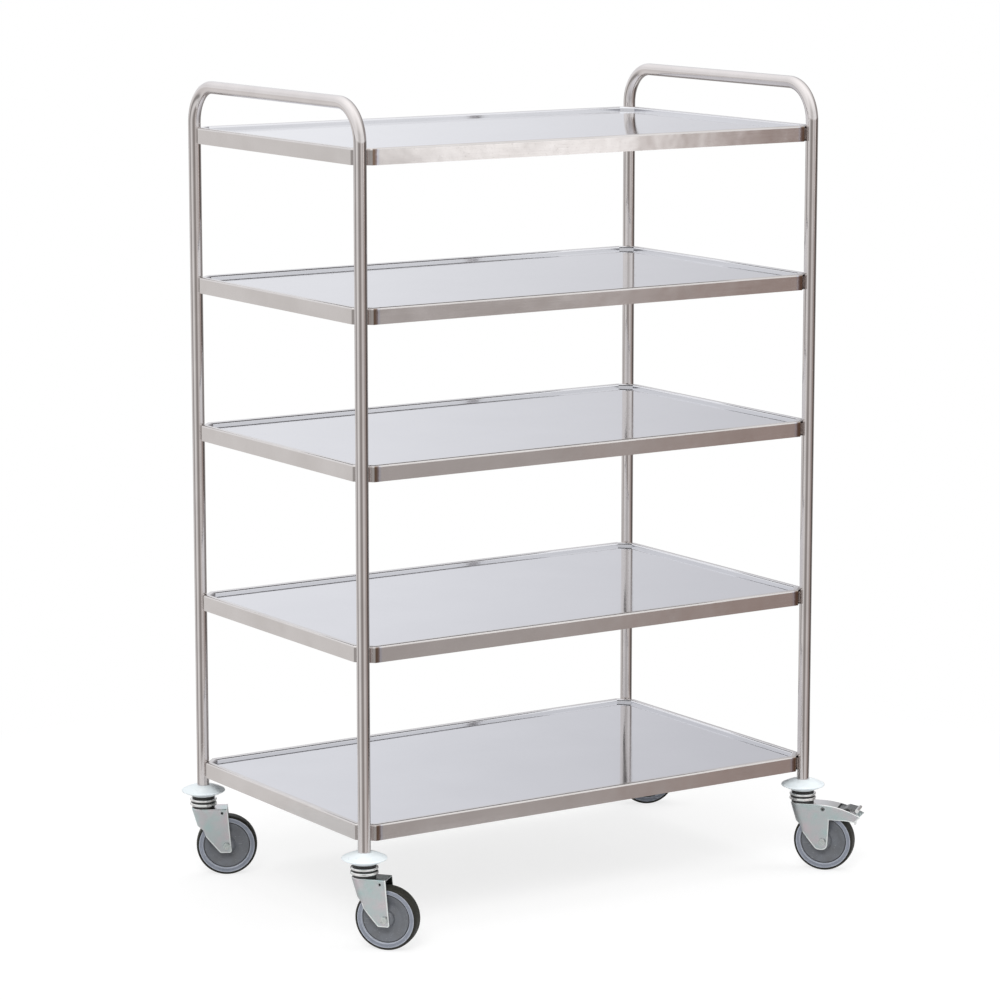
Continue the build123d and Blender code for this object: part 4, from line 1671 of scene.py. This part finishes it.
@dataclass
class FootBrakes:
    """The two foot brakes: pedal, pad and the riveted pin that they tilt on."""

    segments: int = 40
    rounding_steps: int = 4
    tip_from: float = 66 * MM
    tail_drop: float = 6 * MM

    FROM_FORK_FACE: ClassVar[Sequence[Turn]] = (
        Turn(1.1, 0.9, 0.3),
        Turn(1.9, 1.8, 0.5),
        Turn(3.9, 1.3, 1.4),
        Turn(4.5, 0.0, 0.2),
        Turn(3.0, 0.0),
    )

    def build(self) -> None:
        """Build each pin and dress the pedal and the pad."""
        for corner in (corner for corner in Corner if corner.braked):
            # Each pedal's tread is dark as painted shade, its tip and tail light as painted highlight.
            dress_node(
                corner.named("brake_pedal"), [DARK_RIVET_AND_PAINTED_SHADE, POLISHED_RING_AND_PAINTED_HIGHLIGHT], self._pedal_zone(corner)
            )
            dress_node(corner.named("brake_pad"), [BLACK_RUBBER_AND_PAINTED_SHADE])
            pivot, axis = joint_line(corner.named("brake_press"))
            shape = bmesh.new()
            turn_profile(shape, self._pin_profile(), axis_place(pivot, axis), self.segments)
            finish_piece(
                shape, corner.named("riveted_pin"), corner.named("castor"), Slot.FASTENER,
                [DARK_RIVET_AND_PAINTED_SHADE], corner.named("brake_pivot"),
            )

    def _pedal_zone(self, corner: Corner) -> Zone:
        """Rule that tells a pedal's tip and tail, light as painted highlight, from its tread, dark as
        painted shade.
        """
        hub, _ = joint_line(corner.named("wheel_spin"))
        swivel, _ = joint_line(corner.named("swivel"))
        pivot, _ = joint_line(corner.named("brake_press"))
        heading = Vector((hub.x - swivel.x, hub.y - swivel.y, 0)).normalized()

        def zone(centre: Vector, _: Vector) -> PedalFace:
            """Kind of one face."""
            out = (centre - hub).dot(heading)
            # Tip and tail are light as painted highlight; the rest is dark as painted shade.
            bright = out > self.tip_from or centre.z < pivot.z - self.tail_drop
            return PedalFace.BRIGHT if bright else PedalFace.TREAD

        return zone

    def _pin_profile(self) -> Profile:
        """Hollow rivet with a domed head at each end."""
        right = moved(self.FROM_FORK_FACE, height=FORK_OUTER)
        return rounded_profile(both_sides(right), self.rounding_steps)


@dataclass(frozen=True)
class SoftLamp:
    """A soft square lamp, in metres and watts."""

    name: str
    place: Triple
    size: float
    power: float

    def hang(self) -> None:
        """Hang the lamp, unseen by the camera and by metal, looking at the trolley's middle."""
        light = bpy.data.lights.new(self.name, "AREA")
        light.size = self.size
        light.energy = self.power
        lamp = linked(self.name, light)
        lamp.location = self.place
        lamp.visible_camera = False
        lamp.visible_glossy = False
        aim(lamp, (CAD_BOX[0] + CAD_BOX[1]) / 2 - Vector(self.place))


@dataclass
class Studio:
    """White studio: soft lamps, a floor that takes the shadow and what polished metal sees."""

    fill: float = 0.48
    floor_radius: float = 6.0
    floor_segments: int = 96
    floor_glow: float = 0.765
    floor_fade: Span = (1.0, 1.7)
    floor_seen: Colour = (0.29, 0.29, 0.29)
    floor_colour: Colour = (0.86, 0.86, 0.86)
    mirror_fade: Span = (1.3, 1.5)
    mirror_shape: Triple = (1.0, 1.5, 0.0)
    ceiling: Colour = (1.6, 1.6, 1.6)
    ceiling_rise: Span = (0.32, 1.1)
    horizon: Span = (-0.012, 0.035)
    window: Colour = (1.95, 1.95, 1.95)
    window_sill: Span = (-0.105, -0.088)
    ground: Colour = (0.88, 0.88, 0.88)
    ground_fall: Span = (-0.95, -0.75)

    LAMPS: ClassVar[tuple[SoftLamp, ...]] = (
        SoftLamp("key_softbox", (-3.4, -3.6, 4.2), 2.6, 200.0),
        SoftLamp("top_softbox", (0.4, 0.3, 4.6), 3.0, 70.0),
        SoftLamp("right_fill", (4.2, -2.6, 2.6), 2.0, 40.0),
    )
    SKY: ClassVar[Ramp] = (
        (-180.0, (0.95, 0.95, 0.97)),
        (-120.0, (1.0, 1.0, 1.0)),
        (-70.0, (1.0, 1.0, 1.0)),
        (-42.0, (0.70, 0.69, 0.68)),
        (-25.0, (0.72, 0.71, 0.70)),
        (0.0, (1.0, 1.0, 1.0)),
        (48.0, (1.0, 1.0, 1.0)),
        (62.0, (0.40, 0.375, 0.365)),
        (118.0, (0.36, 0.34, 0.335)),
        (136.0, (0.48, 0.475, 0.49)),
        (143.0, (0.64, 0.64, 0.67)),
        (149.5, (0.83, 0.835, 0.865)),
        (156.0, (0.90, 0.905, 0.93)),
    )
    BAND: ClassVar[Ramp] = (
        (-180.0, (0.70, 0.69, 0.69)),
        (-158.0, (0.94, 0.92, 0.91)),
        (-143.0, (0.84, 0.82, 0.81)),
        (-131.0, (0.37, 0.36, 0.355)),
        (-119.0, (0.40, 0.39, 0.385)),
        (-108.0, (0.84, 0.83, 0.82)),
        (-88.0, (1.02, 1.01, 1.0)),
        (-76.0, (0.88, 0.87, 0.86)),
        (-62.0, (0.50, 0.48, 0.47)),
        (-43.0, (0.34, 0.315, 0.30)),
        (-26.0, (0.44, 0.41, 0.395)),
        (-13.0, (0.80, 0.77, 0.755)),
        (4.0, (0.84, 0.81, 0.795)),
        (18.0, (0.62, 0.59, 0.575)),
        (28.0, (0.50, 0.465, 0.455)),
        (34.8, (0.55, 0.515, 0.50)),
        (36.6, (0.43, 0.335, 0.305)),
        (46.0, (0.35, 0.275, 0.25)),
        (52.0, (0.52, 0.47, 0.45)),
        (57.0, (0.10, 0.08, 0.07)),
        (74.0, (0.05, 0.038, 0.033)),
        (86.0, (0.30, 0.28, 0.27)),
        (118.0, (0.36, 0.34, 0.33)),
        (156.0, (0.36, 0.34, 0.335)),
        (168.0, (0.40, 0.385, 0.38)),
    )
    HAZE: ClassVar[Ramp] = (
        (0.0, (1.12, 1.12, 1.12)),
        (0.085, (1.115, 1.115, 1.115)),
        (0.115, (1.05, 1.05, 1.05)),
        (0.151, (1.085, 1.085, 1.085)),
        (0.194, (1.125, 1.125, 1.125)),
        (0.237, (1.075, 1.075, 1.075)),
        (0.32, (1.10, 1.10, 1.10)),
    )
    WINDOW: ClassVar[Ramp] = (
        (24.0, (0.0, 0.0, 0.0)),
        (30.5, (0.22, 0.22, 0.22)),
        (33.2, (1.0, 1.0, 1.0)),
        (34.9, (1.0, 1.0, 1.0)),
        (35.8, (0.0, 0.0, 0.0)),
    )

    def build(self) -> None:
        """Build the floor, the lamps and the world."""
        self._floor()
        for lamp in self.LAMPS:
            lamp.hang()
        self._world()
        bpy.context.scene.view_settings.view_transform = "Standard"

    def _floor(self) -> None:
        """Lay the round white floor."""
        shape = bmesh.new()
        bmesh.ops.create_circle(
            shape, cap_ends=True, segments=self.floor_segments, radius=self.floor_radius
        )
        mesh = bpy.data.meshes.new("studio_floor")
        shape.to_mesh(mesh)
        shape.free()
        mesh.materials.append(self._floor_material())
        floor = linked("studio_floor", mesh)
        floor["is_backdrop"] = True

    def _floor_material(self) -> bpy.types.Material:
        """Paper that keeps the object's shadow; metal sees it near the trolley only."""
        material = bpy.data.materials.new("studio_floor")
        material.use_nodes = True
        material.node_tree.nodes.clear()
        bench = Bench(material.node_tree)
        path = bench.add("LightPath")
        place = bench.add("TexCoord").outputs["Object"]
        paper, tinted = bench.add("BsdfDiffuse"), bench.add("BsdfDiffuse")
        paper.inputs["Color"].default_value = (*self.floor_colour, 1.0)
        tinted.inputs["Color"].default_value = (*self.floor_seen, 1.0)
        glow, white, clear = (bench.add(kind) for kind in ("Emission", "Emission", "BsdfTransparent"))
        glow.inputs["Strength"].default_value = self.floor_glow
        near = bench.add("AddShader")
        bench.feed(near.inputs[0], tinted.outputs[0])
        bench.feed(near.inputs[1], glow.outputs[0])
        seen = bench.choose(bench.span(bench.length(place), self.floor_fade), near, white)
        far = bench.span(bench.length(bench.stretched(place, self.mirror_shape)), self.mirror_fade)
        unseen = bench.math("MULTIPLY", far, path.outputs["Is Glossy Ray"])
        mirrored = bench.choose(unseen, paper, clear)
        above = bench.choose(path.outputs["Is Camera Ray"], mirrored, seen)
        open_below = bench.choose(bench.add("NewGeometry").outputs["Backfacing"], above, clear)
        bench.feed(bench.add("OutputMaterial").inputs["Surface"], open_below.outputs[0])
        return material

    def _world(self) -> None:
        """White background, an even fill light and the room that polished metal reflects."""
        world = bpy.data.worlds.new("studio")
        bpy.context.scene.world = world
        world.use_nodes = True
        world.node_tree.nodes.clear()
        bench = Bench(world.node_tree)
        path = bench.add("LightPath")
        fill, room, white = (bench.add("Background") for _ in range(3))
        fill.inputs["Strength"].default_value = self.fill
        for node in (fill, white):
            node.inputs["Color"].default_value = WHITE
        bench.feed(room.inputs["Color"], self._room(bench))
        lit = bench.choose(path.outputs["Is Glossy Ray"], fill, room)
        seen = bench.math("MAXIMUM", path.outputs["Is Camera Ray"], path.outputs["Is Transmission Ray"])
        choice = bench.choose(seen, lit, white)
        bench.feed(bench.add("OutputWorld").inputs["Surface"], choice.outputs[0])

    def _room(self, bench: Bench) -> Socket:
        """Colour of the room in each direction: bright walls, a banded foot and the ground.

        Args:
            bench: the world's bench.

        Returns:
            The colour.
        """
        x, y, z = bench.parts(bench.add("TexCoord").outputs["Generated"])
        bearing = bench.math("ARCTAN2", x, bench.math("MULTIPLY", y, -1.0))
        turn = bench.span(bearing, (-math.pi, math.pi))
        band = bench.ramp(turn, self._stops(self.BAND))
        sky = bench.ramp(turn, self._stops(self.SKY))
        pane = bench.ramp(turn, self._stops(self.WINDOW))
        lit_pane = bench.math("MULTIPLY", pane, bench.span(z, self.window_sill))
        lower = bench.blend(lit_pane, band, self.window)
        hazy = bench.tinted(sky, bench.ramp(z, self.HAZE))
        upper = bench.blend(bench.span(z, self.ceiling_rise), hazy, self.ceiling)
        walls = bench.blend(bench.span(z, self.horizon), lower, upper)
        return bench.blend(bench.span(z, self.ground_fall, (1.0, 0.0)), walls, self.ground)

    @staticmethod
    def _stops(bearings: Ramp) -> Ramp:
        """Ramp stops for colours by bearing from the front, turning to the right, in degrees."""
        return [((bearing + 180.0) / 360.0, colour) for bearing, colour in bearings]


@dataclass
class PhotoCamera:
    """Camera at the photograph's angle."""

    place: Triple = (-4.273281, -6.499785, 2.131427)
    azimuth: float = -33.261
    elevation: float = 9.867
    lens: float = 139.386
    sensor: float = 36.0
    clip_end: float = 100.0

    def build(self) -> None:
        """Set the camera up and make it the scene's own."""
        data = bpy.data.cameras.new("photo_camera")
        data.lens = self.lens
        data.sensor_width = self.sensor
        data.clip_end = self.clip_end
        camera = linked("photo_camera", data)
        camera.location = self.place
        turn, lift = math.radians(self.azimuth), math.radians(self.elevation)
        back = Vector((math.sin(turn) * math.cos(lift), -math.cos(turn) * math.cos(lift), math.sin(lift)))
        aim(camera, -back)
        bpy.context.scene.camera = camera


def write_sizes() -> None:
    """Work out the CAD box and the visual model's box as a table that is not kept."""
    boxes = {"cad": CAD_BOX, "visual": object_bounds()}
    {name: [list(corner) for corner in box] for name, box in boxes.items()}


def main() -> None:
    """Build the trolley's pieces and finishes, then the studio and the camera."""
    logging.basicConfig(level=logging.INFO, format="%(name)s: %(message)s")
    for assembly in (TubeFrame(), WeldSeams(), PostFeet(), Castors(), FootBrakes()):
        assembly.build()
    TrayShelves().dress()
    Studio().build()
    PhotoCamera().build()
    write_sizes()


if __name__ == "__main__":
    main()
